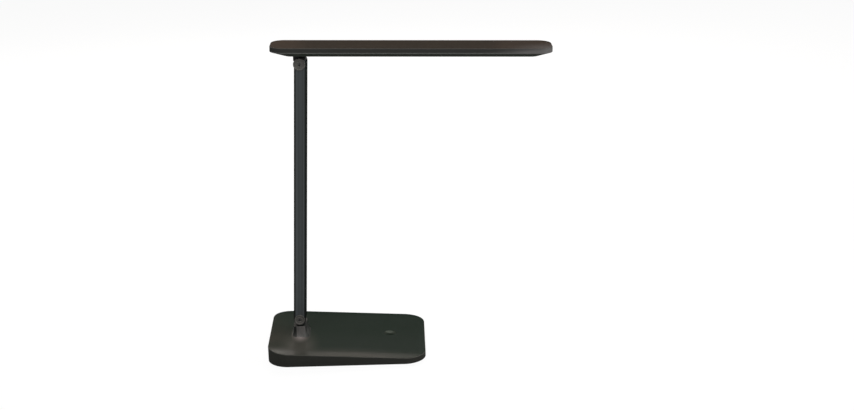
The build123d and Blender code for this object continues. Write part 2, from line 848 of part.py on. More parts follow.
eye_bore_start = bolt_radius + eye_wall
wire_exit = Plane(
    head_up.from_local_coords(Vector(0, 0, eye_bore_start + wire_bore)),
    x_dir=(0, 1, 0),
    z_dir=-head_up.x_dir,
)
with BuildPart() as head_bracket:
    with BuildSketch(head_side):
        Circle(eye_radius)
        with Locations((0, (bolt_radius + flange_top) / 2)):
            Rectangle(head_neck_width, flange_top - bolt_radius)
    extrude(amount=tongue_thickness / 2, both=True)
    with BuildSketch(head_up.offset(flange_bottom)):
        Rectangle(flange_length, flange_depth)
    extrude(amount=flange_thickness)
    with BuildSketch(head_side):
        Circle(bolt_radius + bolt_clearance)
    extrude(amount=tongue_thickness / 2, both=True, mode=Mode.SUBTRACT)
    with BuildSketch(head_up.offset(eye_bore_start)):
        Circle(wire_bore)
    extrude(amount=flange_top - eye_bore_start, mode=Mode.SUBTRACT)
    with BuildSketch(wire_exit):
        Circle(wire_bore)
    extrude(amount=head_neck_width, mode=Mode.SUBTRACT)
    with BuildSketch(head_up.offset(flange_bottom)):
        with Locations(*neck_screw_spots):
            Circle(small_screw[0] + screw_clearance)
    extrude(amount=flange_thickness, mode=Mode.SUBTRACT)
save(head_bracket.part, "head_bracket")

neck_screw = cross_screw(small_screw, neck_screw_length)
with BuildPart(head_up.offset(flange_bottom - small_screw[2])) as head_bracket_screws:
    with Locations(*neck_screw_spots):
        add(neck_screw)
save(head_bracket_screws.part, "head_bracket_screws")

with BuildPart() as head_top_cover:
    with BuildSketch(head_up.offset(parting)):
        with Locations((head_middle, 0)):
            RectangleRounded(head_length, head_width, head_corner)
    extrude(amount=cover_height)
    fillet(head_top_cover.faces().sort_by(Axis(upper_axis, head_up.z_dir))[-1].edges(), head_edge_round)
    with BuildSketch(head_up.offset(parting)):
        with Locations((head_middle, 0)):
            RectangleRounded(
                head_length - 2 * head_wall, head_width - 2 * head_wall, head_corner - head_wall
            )
    extrude(amount=cover_height - head_wall, mode=Mode.SUBTRACT)
    with BuildSketch(head_up.offset(flange_top)):
        with Locations(*neck_screw_spots):
            Circle(screw_boss_radius)
    extrude(amount=cover_inside - flange_top)
    with BuildSketch(head_up.offset(frame_floor)):
        with Locations(*head_screw_spots):
            Circle(screw_boss_radius)
    extrude(amount=cover_inside - frame_floor)
    with BuildSketch(head_up.offset(flange_top)):
        with Locations(*neck_screw_spots):
            Circle(small_screw[0] + screw_clearance)
    extrude(
        amount=neck_screw_length - small_screw[2] - flange_thickness + pilot_extra,
        mode=Mode.SUBTRACT,
    )
    with BuildSketch(head_up.offset(frame_floor)):
        with Locations(*head_screw_spots):
            Circle(flat_screw[0] + screw_clearance)
    extrude(amount=head_screw_length - head_wall + pilot_extra, mode=Mode.SUBTRACT)
save(head_top_cover.part, "head_top_cover")

with BuildPart() as head_lower_frame:
    with BuildSketch(head_up.offset(head_clearance)):
        with Locations((head_middle, 0)):
            RectangleRounded(
                head_length - 2 * band_end_inset, head_width - 2 * band_side_inset, band_corner
            )
    with BuildSketch(head_up.offset(parting)):
        with Locations((head_middle, 0)):
            RectangleRounded(head_length, head_width, head_corner)
    loft()
    with BuildSketch(head_up.offset(frame_floor)):
        with Locations((head_middle, 0)):
            RectangleRounded(
                head_length - 2 * (band_end_inset * floor_share + head_wall),
                head_width - 2 * (band_side_inset * floor_share + head_wall),
                cavity_corner,
            )
    extrude(amount=band_height, mode=Mode.SUBTRACT)
    with BuildSketch(head_up.offset(head_clearance)):
        with Locations((window_middle, 0)):
            RectangleRounded(window_length, window_width, window_corner)
        Rectangle(head_neck_width + 2 * neck_gap, tongue_thickness + 2 * neck_gap)
        with Locations(*head_screw_spots):
            Circle(flat_screw[0] + screw_clearance)
    extrude(amount=head_wall, mode=Mode.SUBTRACT)
    with BuildSketch(head_up.offset(head_clearance)):
        with Locations(*head_screw_spots):
            Circle(flat_screw[1] + screw_clearance)
    extrude(amount=flat_screw[2], taper=45, mode=Mode.SUBTRACT)
save(head_lower_frame.part, "head_lower_frame")

head_screw = cross_screw(flat_screw, head_screw_length, countersunk=True)
with BuildPart(head_up.offset(head_clearance)) as head_screws:
    with Locations(*head_screw_spots):
        add(head_screw)
save(head_screws.part, "head_screws")

with BuildPart() as diffuser:
    with BuildSketch(head_up.offset(head_clearance + diffuser_recess)):
        with Locations((window_middle, 0)):
            RectangleRounded(
                window_length - 2 * diffuser_gap,
                window_width - 2 * diffuser_gap,
                window_corner - diffuser_gap,
            )
    extrude(amount=head_wall - diffuser_recess)
    with BuildSketch(head_up.offset(frame_floor)):
        with Locations((window_middle, 0)):
            RectangleRounded(
                window_length + 2 * diffuser_lip,
                window_width + 2 * diffuser_lip,
                window_corner + diffuser_lip,
            )
    extrude(amount=diffuser_lip_height)
save(diffuser.part, "diffuser")

with BuildPart() as heat_spreader:
    with BuildSketch(head_up.offset(cover_inside)):
        with Locations((window_middle, 0)):
            Rectangle(led_board_length, spreader_width)
    extrude(amount=-spreader_thickness)
save(heat_spreader.part, "heat_spreader")

with BuildPart() as led_board:
    with BuildSketch(head_up.offset(cover_inside - spreader_thickness)):
        with Locations((window_middle, 0)):
            Rectangle(led_board_length, led_board_width)
    extrude(amount=-led_board_thickness)
save(led_board.part, "led_board")

with BuildPart() as leds:
    with BuildSketch(head_up.offset(cover_inside - spreader_thickness - led_board_thickness)):
        with Locations((window_middle, 0)):
            with GridLocations(led_pitch, led_row_pitch, led_columns, led_rows):
                Rectangle(led_side, led_side)
    extrude(amount=-led_height)
save(leds.part, "leds")

# Wires from the bracket's bore to the end of the light board
wire_level = cover_inside - spreader_thickness - led_board_thickness / 2
head_wire_route = [
    (-head_neck_width / 2, 0, eye_bore_start + wire_bore),
    (0, 0, eye_bore_start + wire_bore),
    (0, 0, wire_level),
    (window_middle - led_board_length / 2, 0, wire_level),
]
wire_pair([head_up.from_local_coords(Vector(p)) for p in head_wire_route], "head_wires")
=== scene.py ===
import json
from math import atan, cos, pi, radians, sin, sqrt

import bmesh
import bpy
from mathutils import Matrix, Vector


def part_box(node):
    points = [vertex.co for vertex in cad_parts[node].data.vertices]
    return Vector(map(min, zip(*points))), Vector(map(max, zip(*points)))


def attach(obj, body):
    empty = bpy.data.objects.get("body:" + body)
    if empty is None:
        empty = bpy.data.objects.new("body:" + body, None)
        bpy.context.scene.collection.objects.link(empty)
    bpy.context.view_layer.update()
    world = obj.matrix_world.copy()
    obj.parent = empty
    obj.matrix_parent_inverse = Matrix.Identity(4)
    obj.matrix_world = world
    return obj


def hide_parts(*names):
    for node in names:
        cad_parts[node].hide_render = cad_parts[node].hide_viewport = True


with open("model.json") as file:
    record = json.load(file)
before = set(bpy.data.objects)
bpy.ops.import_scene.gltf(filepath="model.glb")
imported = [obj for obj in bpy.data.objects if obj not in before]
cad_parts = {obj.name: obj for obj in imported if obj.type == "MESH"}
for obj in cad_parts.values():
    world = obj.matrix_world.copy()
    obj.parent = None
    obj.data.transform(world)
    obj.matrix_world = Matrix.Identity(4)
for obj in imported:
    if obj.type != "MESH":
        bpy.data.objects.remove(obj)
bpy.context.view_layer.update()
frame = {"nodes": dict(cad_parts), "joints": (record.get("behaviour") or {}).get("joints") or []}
nodes = frame["nodes"]
joints = {joint["name"]: joint for joint in frame["joints"]}
mm = 0.001

# The hinge axes come from the frame; the angles are those in which the lamp stands
posture = dict(armLean=2.7, headDroop=1.45)
lowerAxis = Vector(joints["arm_hinge"]["pos_m"])
upperAxis = Vector(joints["head_hinge"]["pos_m"])
lean = Matrix.Rotation(radians(posture["armLean"]), 4, "Y")
droop = Matrix.Rotation(radians(posture["headDroop"]), 4, "Y")
lowerHinge = Matrix.Translation(lowerAxis) @ lean
upperHinge = Matrix.Translation(upperAxis) @ lean
headFrame = Matrix.Translation(upperAxis) @ droop
towardsFront = Matrix.Rotation(radians(90), 4, "X")  # turns +Z to -Y
towardsBack = Matrix.Rotation(radians(-90), 4, "X")
print("frame loaded:", len(nodes), "nodes")


# Finishes. Patterns read Object coordinates, which are the lamp's own metres.
# The masks compare directions: 1 is the same way, 0 is square to it
masks = dict(
    wearAndPaintedLight=(0.8, 0.995),  # a rounded normal against the true one, from a fully marked edge to none
    upward=0.35,  # how far up or down an edge must look to take a one-sided painted highlight or painted light below
    square=(0.93, 0.99),  # where a patch keeps to faces square to its axis
    top=(0.4, 0.95),  # from the walls' painted-light colour to the top's
    ridgeHighlight=((0.3, 0.6), (0.9, 0.985)),  # where the painted highlight line between them starts and ends
    samples=4,  # rays that find a rounded normal
)
fineDetail = 3.0  # octaves of the noise in most finishes


def startMaterial(name):
    material = bpy.data.materials.new(name)
    material.use_nodes = True
    tree = material.node_tree
    return material, tree.nodes, tree.links, tree.nodes["Principled BSDF"]


def noiseOn(made, links, size, detail=2.0, stretch=(1, 1, 1), turn=0.0):
    # noise with features of about size millimetres, drawn out along an axis by stretch
    coordinates = made.new("ShaderNodeTexCoord")
    mapping = made.new("ShaderNodeMapping")
    mapping.vector_type = "TEXTURE"
    mapping.inputs["Rotation"].default_value = (0, radians(turn), 0)
    mapping.inputs["Scale"].default_value = stretch
    noise = made.new("ShaderNodeTexNoise")
    noise.inputs["Scale"].default_value = 1 / (size * mm)
    noise.inputs["Detail"].default_value = detail
    links.new(coordinates.outputs["Object"], mapping.inputs["Vector"])
    links.new(mapping.outputs["Vector"], noise.inputs["Vector"])
    return noise.outputs["Fac"]


def ranged(made, links, value, low, high, fromLow=0.3, fromHigh=0.7):
    # low where value is fromLow, high where it is fromHigh, and held beyond both
    spread = made.new("ShaderNodeMapRange")
    spread.inputs["From Min"].default_value = fromLow
    spread.inputs["From Max"].default_value = fromHigh
    spread.inputs["To Min"].default_value = low
    spread.inputs["To Max"].default_value = high
    links.new(value, spread.inputs["Value"])
    return spread.outputs["Result"]


def mixedColour(made, links, factor, first, second):
    # first where factor is 0, second where it is 1; each a tuple or another node's output
    mix = made.new("ShaderNodeMix")
    mix.data_type = "RGBA"
    for socket, colour in ((mix.inputs[6], first), (mix.inputs[7], second)):
        if isinstance(colour, tuple):
            socket.default_value = (*colour, 1)
        else:
            links.new(colour, socket)
    links.new(factor, mix.inputs[0])
    return mix.outputs[2]


def product(made, links, first, second):
    times = made.new("ShaderNodeMath")
    times.operation = "MULTIPLY"
    links.new(first, times.inputs[0])
    links.new(second, times.inputs[1])
    return times.outputs["Value"]


def ownNormal(made, links, normal):
    # a normal turned from the world into the piece's own directions, which move with its body
    change = made.new("ShaderNodeVectorTransform")
    change.vector_type = "NORMAL"
    change.convert_from = "WORLD"
    change.convert_to = "OBJECT"
    links.new(normal, change.inputs["Vector"])
    return change.outputs["Vector"]


def facingAxis(made, links, axis):
    # how squarely the surface faces along axis: 1 straight on, 0 edge on
    geometry = made.new("ShaderNodeNewGeometry")
    dot = made.new("ShaderNodeVectorMath")
    dot.operation = "DOT_PRODUCT"
    links.new(ownNormal(made, links, geometry.outputs["True Normal"]), dot.inputs[0])
    dot.inputs[1].default_value = axis
    size = made.new("ShaderNodeMath")
    size.operation = "ABSOLUTE"
    links.new(dot.outputs["Value"], size.inputs[0])
    return size.outputs["Value"]


def edgeMask(made, links, radius, facing=0):
    # 1 on edges lightened by wear and painted highlight, from how far a rounded normal leaves the
    # true one.
    # facing 1 keeps only edges that look up, and -1 those that look down, for painted light on one
    # side
    rounded = made.new("ShaderNodeBevel")
    rounded.samples = masks["samples"]
    rounded.inputs["Radius"].default_value = radius * mm
    geometry = made.new("ShaderNodeNewGeometry")
    dot = made.new("ShaderNodeVectorMath")
    dot.operation = "DOT_PRODUCT"
    links.new(rounded.outputs["Normal"], dot.inputs[0])
    links.new(geometry.outputs["True Normal"], dot.inputs[1])
    wearAndPaintedLight = ranged(made, links, dot.outputs["Value"], 1, 0, *masks["wearAndPaintedLight"])
    if facing:
        parts = made.new("ShaderNodeSeparateXYZ")
        links.new(ownNormal(made, links, rounded.outputs["Normal"]), parts.inputs["Vector"])
        side = ranged(made, links, parts.outputs["Z"], 0, 1, 0, masks["upward"] * facing)
        wearAndPaintedLight = product(made, links, wearAndPaintedLight, side)
    return wearAndPaintedLight


def onStrip(made, links, strip):
    # 1 on the front and back of a strip about the line through place that leans by tilt
    coordinates = made.new("ShaderNodeTexCoord")
    mapping = made.new("ShaderNodeMapping")
    mapping.vector_type = "TEXTURE"
    mapping.inputs["Location"].default_value = strip["place"]
    mapping.inputs["Rotation"].default_value = (0, radians(strip["tilt"]), 0)
    parts = made.new("ShaderNodeSeparateXYZ")
    away = made.new("ShaderNodeMath")
    away.operation = "ABSOLUTE"
    links.new(coordinates.outputs["Object"], mapping.inputs["Vector"])
    links.new(mapping.outputs["Vector"], parts.inputs["Vector"])
    links.new(parts.outputs["X"], away.inputs[0])
    inner, outer = strip["half"] - strip["soft"], strip["half"] + strip["soft"]
    within = ranged(made, links, away.outputs["Value"], 1, 0, inner * mm, outer * mm)
    front = ranged(made, links, facingAxis(made, links, (0, 1, 0)), 0, 1, *strip["faces"])
    return product(made, links, within, front)


def nearPatch(made, links, patch):
    # 1 in the core of an ellipsoid, fading softly to 0 at its surface
    coordinates = made.new("ShaderNodeTexCoord")
    mapping = made.new("ShaderNodeMapping")
    mapping.vector_type = "TEXTURE"
    mapping.inputs["Location"].default_value = [value * mm for value in patch["place"]]
    mapping.inputs["Scale"].default_value = [value * mm for value in patch["size"]]
    away = made.new("ShaderNodeVectorMath")
    away.operation = "LENGTH"
    links.new(coordinates.outputs["Object"], mapping.inputs["Vector"])
    links.new(mapping.outputs["Vector"], away.inputs[0])
    near = ranged(made, links, away.outputs["Value"], 1, 0, patch["core"], 1)
    near = product(made, links, near, near)
    if "on" in patch:
        flat = facingAxis(made, links, patch["on"])
        near = product(made, links, near, ranged(made, links, flat, 0, 1, *masks["square"]))
    return near


def bumped(made, links, height, depth):
    bump = made.new("ShaderNodeBump")
    bump.inputs["Distance"].default_value = depth * mm
    bump.inputs["Strength"].default_value = 1
    links.new(height, bump.inputs["Height"])
    return bump.outputs["Normal"]


gloss = dict(size=3.0, detail=4.0)  # slow shifts of gloss on plastic


def mouldedPlastic(name, look):
    # moulded plastic with a fine grain, slow shifts of tone, and edges lightened by wear and
    # painted highlight.
    # With litWalls, the top and the upright walls take colours that paint how each is lit, and the
    # ridge between them a painted highlight line
    material, made, links, shader = startMaterial(name)
    tone = ranged(made, links, noiseOn(made, links, look["cloud"], fineDetail), 0, 1)
    colour = mixedColour(made, links, tone, look["colour"], look["shade"])
    # painted light: the top and walls take colours for how each is lit, the ridge a painted
    # highlight line
    if "litWalls" in look:
        flat = facingAxis(made, links, look["flat"])
        onTop = ranged(made, links, flat, 0, 1, *masks["top"])
        colour = mixedColour(made, links, onTop, look["litWalls"], colour)
        start, end = masks["ridgeHighlight"]
        turning = ranged(made, links, flat, 0, 1, *start)
        turning = product(made, links, turning, ranged(made, links, flat, 1, 0, *end))
        colour = mixedColour(made, links, turning, colour, look["ridgeHighlight"])
    # edge colour: wear, and on the deck, head, frame and caps also a painted highlight; on the key
    # a painted shade
    edgeWearAndLight = edgeMask(made, links, look["edge"], look.get("facing", 0))
    colour = mixedColour(made, links, edgeWearAndLight, colour, look["wearAndPaintedLight"])
    # painted light from below: the wall lightens towards its lower edge
    if "lowerEdge" in look:
        below = edgeMask(made, links, look["lowerEdge"], -1)
        colour = mixedColour(made, links, below, colour, look["paintedLightBelow"])
    # patches: painted light and shade, save the plain ring round the key
    for patch in look.get("patches", ()):
        colour = mixedColour(made, links, nearPatch(made, links, patch), colour, patch["colour"])
    links.new(colour, shader.inputs["Base Color"])
    rubbed = noiseOn(made, links, gloss["size"], gloss["detail"])
    links.new(ranged(made, links, rubbed, *look["roughness"]), shader.inputs["Roughness"])
    grain = noiseOn(made, links, look["grain"])
    links.new(bumped(made, links, grain, look["depth"]), shader.inputs["Normal"])
    lacquer, lacquerRoughness = look.get("lacquer", (0, 0.24))
    shader.inputs["Specular IOR Level"].default_value = look["specular"]
    shader.inputs["Coat Weight"].default_value = lacquer
    shader.inputs["Coat Roughness"].default_value = lacquerRoughness
    return material


def metalSurface(name, look):
    # metal with fine scratches drawn out along one axis, and brighter edges from wear and painted
    # highlight.
    # A strip's dark sides paint shade, and patches paint light
    material, made, links, shader = startMaterial(name)
    turn = look.get("turn", 0)
    cloud = noiseOn(made, links, look["cloud"], fineDetail, look.get("drawn", (1, 1, 1)), turn)
    tone = ranged(made, links, cloud, 0, 1)
    colour = mixedColour(made, links, tone, look["colour"], look["shade"])
    scratch = noiseOn(made, links, look["scratch"], fineDetail, look["stretch"], turn)
    streak = ranged(made, links, scratch, 0, look.get("streak", 0))
    colour = mixedColour(made, links, streak, colour, look["wearAndPaintedLight"])
    # edge colour: wear, and on the pedestal also a painted highlight
    edgeWearAndLight = edgeMask(made, links, look["edge"])
    colour = mixedColour(made, links, edgeWearAndLight, colour, look["wearAndPaintedLight"])
    # painted shade: the strip's sides take its dark colour (on the arm also a two-tone finish)
    if "strip" in look:
        bright = onStrip(made, links, look["strip"])
        colour = mixedColour(made, links, bright, look["strip"]["dark"], colour)
    # patches: painted light
    for patch in look.get("patches", ()):
        colour = mixedColour(made, links, nearPatch(made, links, patch), colour, patch["colour"])
    links.new(colour, shader.inputs["Base Color"])
    links.new(ranged(made, links, scratch, *look["roughness"]), shader.inputs["Roughness"])
    links.new(bumped(made, links, scratch, look["depth"]), shader.inputs["Normal"])
    shader.inputs["Metallic"].default_value = look["metallic"]
    shader.inputs["Specular IOR Level"].default_value = look["specular"]
    shader.inputs["Specular Tint"].default_value = (*look.get("grazing", (1, 1, 1)), 1)
    return material


# The larger pieces. Lacquer is a thin coat's weight and roughness; a patch fades out over an
# ellipsoid of half-axes size about place, both in millimetres. The patches are painted light and
# shade, all but the plain ring round the key
deckUp = (0.0587, 0, 0.9983)  # square to the deck
headUp = (0.0253, 0, 0.9997)  # square to the top of the head
# Deck: the walls' colour, the ridge and all patches but the plain ring round the key are painted
# light
coverPlastic = mouldedPlastic("coverPlastic", dict(
    colour=(0.0092, 0.0155, 0.011), shade=(0.0115, 0.0172, 0.0133), wearAndPaintedLight=(0.05, 0.05, 0.045),
    cloud=60, edge=0.7, grain=0.35, depth=0.008, roughness=(0.74, 0.84), specular=0.0,
    lacquer=(0.027, 0.19), flat=deckUp, litWalls=(0.0215, 0.022, 0.0195), ridgeHighlight=(0.065, 0.065, 0.057),
    patches=[
        dict(  # left end of the deck: painted warm light
            place=(-80, -20, 15), size=(60, 60, 30), core=0, on=deckUp,
            colour=(0.02, 0.021, 0.0165),
        ),
        dict(  # in front of the pedestal: painted light
            place=(-50, -40, 15), size=(26, 60, 30), core=0.3, on=deckUp,
            colour=(0.048, 0.047, 0.04),
        ),
        dict(  # along the front: painted highlight along the crown
            place=(0, -64, 12), size=(120, 30, 40), core=0.35, on=deckUp,
            colour=(0.034, 0.034, 0.029),
        ),
        dict(  # the crown's front left corner: painted highlight
            place=(-73, -55, 15), size=(42, 18, 12), core=0.1, on=deckUp,
            colour=(0.078, 0.076, 0.07),
        ),
        dict(  # at the pedestal's foot: painted warm glow
            place=(-50, -8, 15), size=(11.5, 26, 12), core=0.1, on=deckUp,
            colour=(0.4, 0.34, 0.32),
        ),
        dict(  # quiet ring round the key
            place=(45, 5, 8.4), size=(9, 9, 6), core=0.85, colour=(0.0104, 0.0165, 0.0122),
        ),
    ],
))
# Head: the top's warm brown is a painted warm sheen; the walls' grey, the light below and the ridge
# are painted light
headPlastic = mouldedPlastic("headPlastic", dict(
    colour=(0.027, 0.0195, 0.0135), shade=(0.0215, 0.0165, 0.012), wearAndPaintedLight=(0.085, 0.085, 0.08),
    cloud=60, edge=0.9, grain=0.35, depth=0.008, roughness=(0.78, 0.88), specular=0.0,
    lacquer=(0.019, 0.16), lowerEdge=2.2, paintedLightBelow=(0.13, 0.135, 0.128),
    flat=headUp, litWalls=(0.027, 0.0275, 0.0255), ridgeHighlight=(0.075, 0.072, 0.067),
    patches=[
        dict(  # right end of the wall: painted highlight
            place=(225, -21, 317), size=(90, 40, 8), core=0.4, colour=(0.095, 0.092, 0.09),
        ),
    ],
))
# the up-looking edges take a painted highlight
framePlastic = mouldedPlastic("framePlastic", dict(
    colour=(0.014, 0.018, 0.0145), shade=(0.017, 0.02, 0.0165), wearAndPaintedLight=(0.17, 0.17, 0.16),
    cloud=50, edge=0.35, grain=0.3, depth=0.008, roughness=(0.7, 0.8), specular=0.05, facing=1,
))
# the darker edge colour is painted shade at the key's rim
keyPlastic = mouldedPlastic("keyPlastic", dict(
    colour=(0.017, 0.0235, 0.018), shade=(0.02, 0.0255, 0.02), wearAndPaintedLight=(0.013, 0.018, 0.014),
    cloud=8, edge=0.2, grain=0.3, depth=0.004, roughness=(0.6, 0.7), specular=0.0,
    lacquer=(0.015, 0.24),
    patches=[
        dict(  # far slope of the dish: painted highlight
            place=(44.4, 8.8, 8), size=(6.2, 3.4, 5), core=0.55, colour=(0.049, 0.059, 0.048),
        ),
        dict(  # near slope: painted shade
            place=(45, 1.3, 8.4), size=(7, 4.2, 5), core=0.5, colour=(0.006, 0.0095, 0.0065),
        ),
    ],
))
# the up-looking rim edges take a painted highlight
capPlastic = mouldedPlastic("capPlastic", dict(
    colour=(0.054, 0.052, 0.049), shade=(0.076, 0.073, 0.066), wearAndPaintedLight=(0.26, 0.25, 0.23),
    cloud=3, edge=0.3, grain=0.25, depth=0.008, roughness=(0.5, 0.6), specular=0.12, facing=1,
))
blackPlastic = mouldedPlastic("blackPlastic", dict(
    colour=(0.012, 0.012, 0.012), shade=(0.018, 0.018, 0.018), wearAndPaintedLight=(0.05, 0.05, 0.05),
    cloud=8, edge=0.2, grain=0.2, depth=0.005, roughness=(0.4, 0.5), specular=0.4,
))
headerPlastic = mouldedPlastic("headerPlastic", dict(
    colour=(0.75, 0.72, 0.62), shade=(0.7, 0.66, 0.56), wearAndPaintedLight=(0.8, 0.78, 0.7),
    cloud=6, edge=0.2, grain=0.2, depth=0.004, roughness=(0.35, 0.45), specular=0.5,
))
washerNylon = mouldedPlastic("washerNylon", dict(
    colour=(0.3, 0.29, 0.26), shade=(0.25, 0.24, 0.22), wearAndPaintedLight=(0.4, 0.39, 0.36),
    cloud=5, edge=0.15, grain=0.2, depth=0.004, roughness=(0.4, 0.5), specular=0.5,
))
padRubber = mouldedPlastic("padRubber", dict(
    colour=(0.014, 0.014, 0.014), shade=(0.02, 0.02, 0.019), wearAndPaintedLight=(0.03, 0.03, 0.03),
    cloud=30, edge=0.2, grain=0.5, depth=0.03, roughness=(0.75, 0.9), specular=0.3,
))
cableSheath = mouldedPlastic("cableSheath", dict(
    colour=(0.02, 0.02, 0.02), shade=(0.03, 0.03, 0.03), wearAndPaintedLight=(0.04, 0.04, 0.04),
    cloud=10, edge=0.1, grain=0.3, depth=0.003, roughness=(0.45, 0.55), specular=0.5,
))
boardWhite = mouldedPlastic("boardWhite", dict(
    colour=(0.8, 0.8, 0.77), shade=(0.76, 0.76, 0.73), wearAndPaintedLight=(0.6, 0.55, 0.4),
    cloud=6, edge=0.15, grain=0.6, depth=0.008, roughness=(0.3, 0.4), specular=0.5,
))
inductorFerrite = mouldedPlastic("inductorFerrite", dict(
    colour=(0.03, 0.03, 0.032), shade=(0.05, 0.05, 0.052), wearAndPaintedLight=(0.1, 0.1, 0.1),
    cloud=3, edge=0.2, grain=0.15, depth=0.01, roughness=(0.55, 0.7), specular=0.4,
))
# the strip's dark sides are a two-tone finish that also paints shade on the rounded sides
armAnodised = metalSurface("armAnodised", dict(
    colour=(0.032, 0.037, 0.037), shade=(0.06, 0.067, 0.072), wearAndPaintedLight=(0.08, 0.08, 0.08),
    cloud=1.8, drawn=(1, 1, 200), edge=0.18, scratch=0.5, stretch=(1, 1, 160),
    turn=posture["armLean"], depth=0.002, roughness=(0.42, 0.52), metallic=0.5, specular=0.0,
    streak=0.2, grazing=(0, 0, 0),
    strip=dict(
        place=lowerAxis, tilt=posture["armLean"], half=4.7, soft=0.3, faces=(0.5, 0.8),
        dark=(0.011, 0.013, 0.012),
    ),
))
# lighter than the deck; the strip's dark flanks are painted shade, the flank patches painted light,
# and the edges partly a painted highlight
pedestalFinish = metalSurface("pedestalFinish", dict(
    colour=(0.075, 0.073, 0.07), shade=(0.105, 0.102, 0.098), wearAndPaintedLight=(0.3, 0.275, 0.26),
    cloud=1.6, drawn=(1, 1, 20), edge=0.5, scratch=1.2, stretch=(1, 1, 60), depth=0.003,
    roughness=(0.5, 0.6), metallic=0.2, specular=0.05, streak=0.2, grazing=(0, 0, 0),
    strip=dict(
        place=(lowerAxis.x + 0.9 * mm, 0, 0), tilt=0, half=4.7, soft=0.5, faces=(0.35, 0.6),
        dark=(0.02, 0.022, 0.02),
    ),
    patches=[
        dict(  # left flank: painted light
            place=(-59, -8, 12.5), size=(11, 18, 9), core=0.1, colour=(0.1, 0.095, 0.087),
        ),
        dict(  # right flank
            # right flank: painted light
            place=(-45, -6, 12.5), size=(5.2, 18, 12), core=0.4, colour=(0.09, 0.089, 0.084),
        ),
    ],
))
boltSteel = metalSurface("boltSteel", dict(
    colour=(0.05, 0.05, 0.05), shade=(0.035, 0.035, 0.035), wearAndPaintedLight=(0.75, 0.74, 0.72),
    cloud=1, edge=0.15, scratch=0.15, stretch=(1, 12, 1), depth=0.003,
    roughness=(0.25, 0.38), metallic=1.0, specular=0.5,
))
screwSteel = metalSurface("screwSteel", dict(
    colour=(0.2, 0.2, 0.2), shade=(0.15, 0.15, 0.15), wearAndPaintedLight=(0.5, 0.49, 0.47),
    cloud=2, edge=0.2, scratch=0.1, stretch=(1, 1, 3), depth=0.003,
    roughness=(0.3, 0.42), metallic=1.0, specular=0.5,
))
plateSteel = metalSurface("plateSteel", dict(
    colour=(0.03, 0.03, 0.03), shade=(0.04, 0.04, 0.04), wearAndPaintedLight=(0.2, 0.2, 0.2),
    cloud=25, edge=0.3, scratch=0.4, stretch=(6, 1, 1), depth=0.004,
    roughness=(0.4, 0.55), metallic=0.3, specular=0.5,
))
ballastSteel = metalSurface("ballastSteel", dict(
    colour=(0.42, 0.42, 0.41), shade=(0.33, 0.33, 0.33), wearAndPaintedLight=(0.6, 0.6, 0.58),
    cloud=15, edge=0.4, scratch=0.3, stretch=(20, 1, 1), depth=0.006,
    roughness=(0.3, 0.5), metallic=1.0, specular=0.5,
))
bracketPaint = metalSurface("bracketPaint", dict(
    colour=(0.01, 0.01, 0.0105), shade=(0.014, 0.014, 0.0145), wearAndPaintedLight=(0.12, 0.12, 0.12),
    cloud=8, edge=0.25, scratch=0.4, stretch=(1, 1, 2), depth=0.006,
    roughness=(0.5, 0.6), metallic=0.0, specular=0.2,
))
insertCasting = metalSurface("insertCasting", dict(
    colour=(0.03, 0.03, 0.031), shade=(0.022, 0.022, 0.023), wearAndPaintedLight=(0.16, 0.16, 0.16),
    cloud=6, edge=0.25, scratch=0.5, stretch=(1, 1, 1), depth=0.01,
    roughness=(0.5, 0.62), metallic=0.4, specular=0.3,
))
spreaderSheet = metalSurface("spreaderSheet", dict(
    colour=(0.75, 0.75, 0.76), shade=(0.68, 0.68, 0.7), wearAndPaintedLight=(0.85, 0.85, 0.85),
    cloud=20, edge=0.2, scratch=0.2, stretch=(60, 1, 1), depth=0.003,
    roughness=(0.25, 0.4), metallic=1.0, specular=0.5,
))
contactBrass = metalSurface("contactBrass", dict(
    colour=(0.65, 0.45, 0.16), shade=(0.6, 0.4, 0.13), wearAndPaintedLight=(0.8, 0.62, 0.3),
    cloud=2, edge=0.15, scratch=0.1, stretch=(8, 1, 1), depth=0.002,
    roughness=(0.2, 0.32), metallic=1.0, specular=0.5,
))
capacitorCan = metalSurface("capacitorCan", dict(
    colour=(0.72, 0.72, 0.74), shade=(0.66, 0.66, 0.68), wearAndPaintedLight=(0.82, 0.82, 0.84),
    cloud=3, edge=0.15, scratch=0.1, stretch=(1, 1, 6), depth=0.002,
    roughness=(0.22, 0.34), metallic=1.0, specular=0.5,
))


# Opal window over the light board: satin white, with rows of tiny lenses pressed into it
opalLook = dict(
    colour=(0.86, 0.86, 0.83), shade=(0.82, 0.82, 0.79), cloud=40, cell=1.1, depth=0.03,
    roughness=(0.34, 0.42), scatter=0.2, reach=4,
)


def opalWindow():
    material, made, links, shader = startMaterial("opalPlastic")
    cloud = noiseOn(made, links, opalLook["cloud"])
    tone = ranged(made, links, cloud, 0, 1)
    colour = mixedColour(made, links, tone, opalLook["colour"], opalLook["shade"])
    links.new(colour, shader.inputs["Base Color"])
    links.new(ranged(made, links, cloud, *opalLook["roughness"]), shader.inputs["Roughness"])
    coordinates = made.new("ShaderNodeTexCoord")
    cells = made.new("ShaderNodeTexVoronoi")
    cells.inputs["Randomness"].default_value = 0.0
    cells.inputs["Scale"].default_value = 1 / (opalLook["cell"] * mm)
    links.new(coordinates.outputs["Object"], cells.inputs["Vector"])
    lenses = bumped(made, links, cells.outputs["Distance"], opalLook["depth"])
    links.new(lenses, shader.inputs["Normal"])
    shader.inputs["Subsurface Weight"].default_value = opalLook["scatter"]
    shader.inputs["Subsurface Radius"].default_value = [opalLook["reach"] * mm] * 3
    return material


# Wires run in pairs side by side along Y: red on one side, black on the other
wireLook = dict(
    red=(0.34, 0.018, 0.014), black=(0.016, 0.016, 0.016), seam=0.02, skin=0.4,
    roughness=(0.4, 0.5), depth=0.004,
)


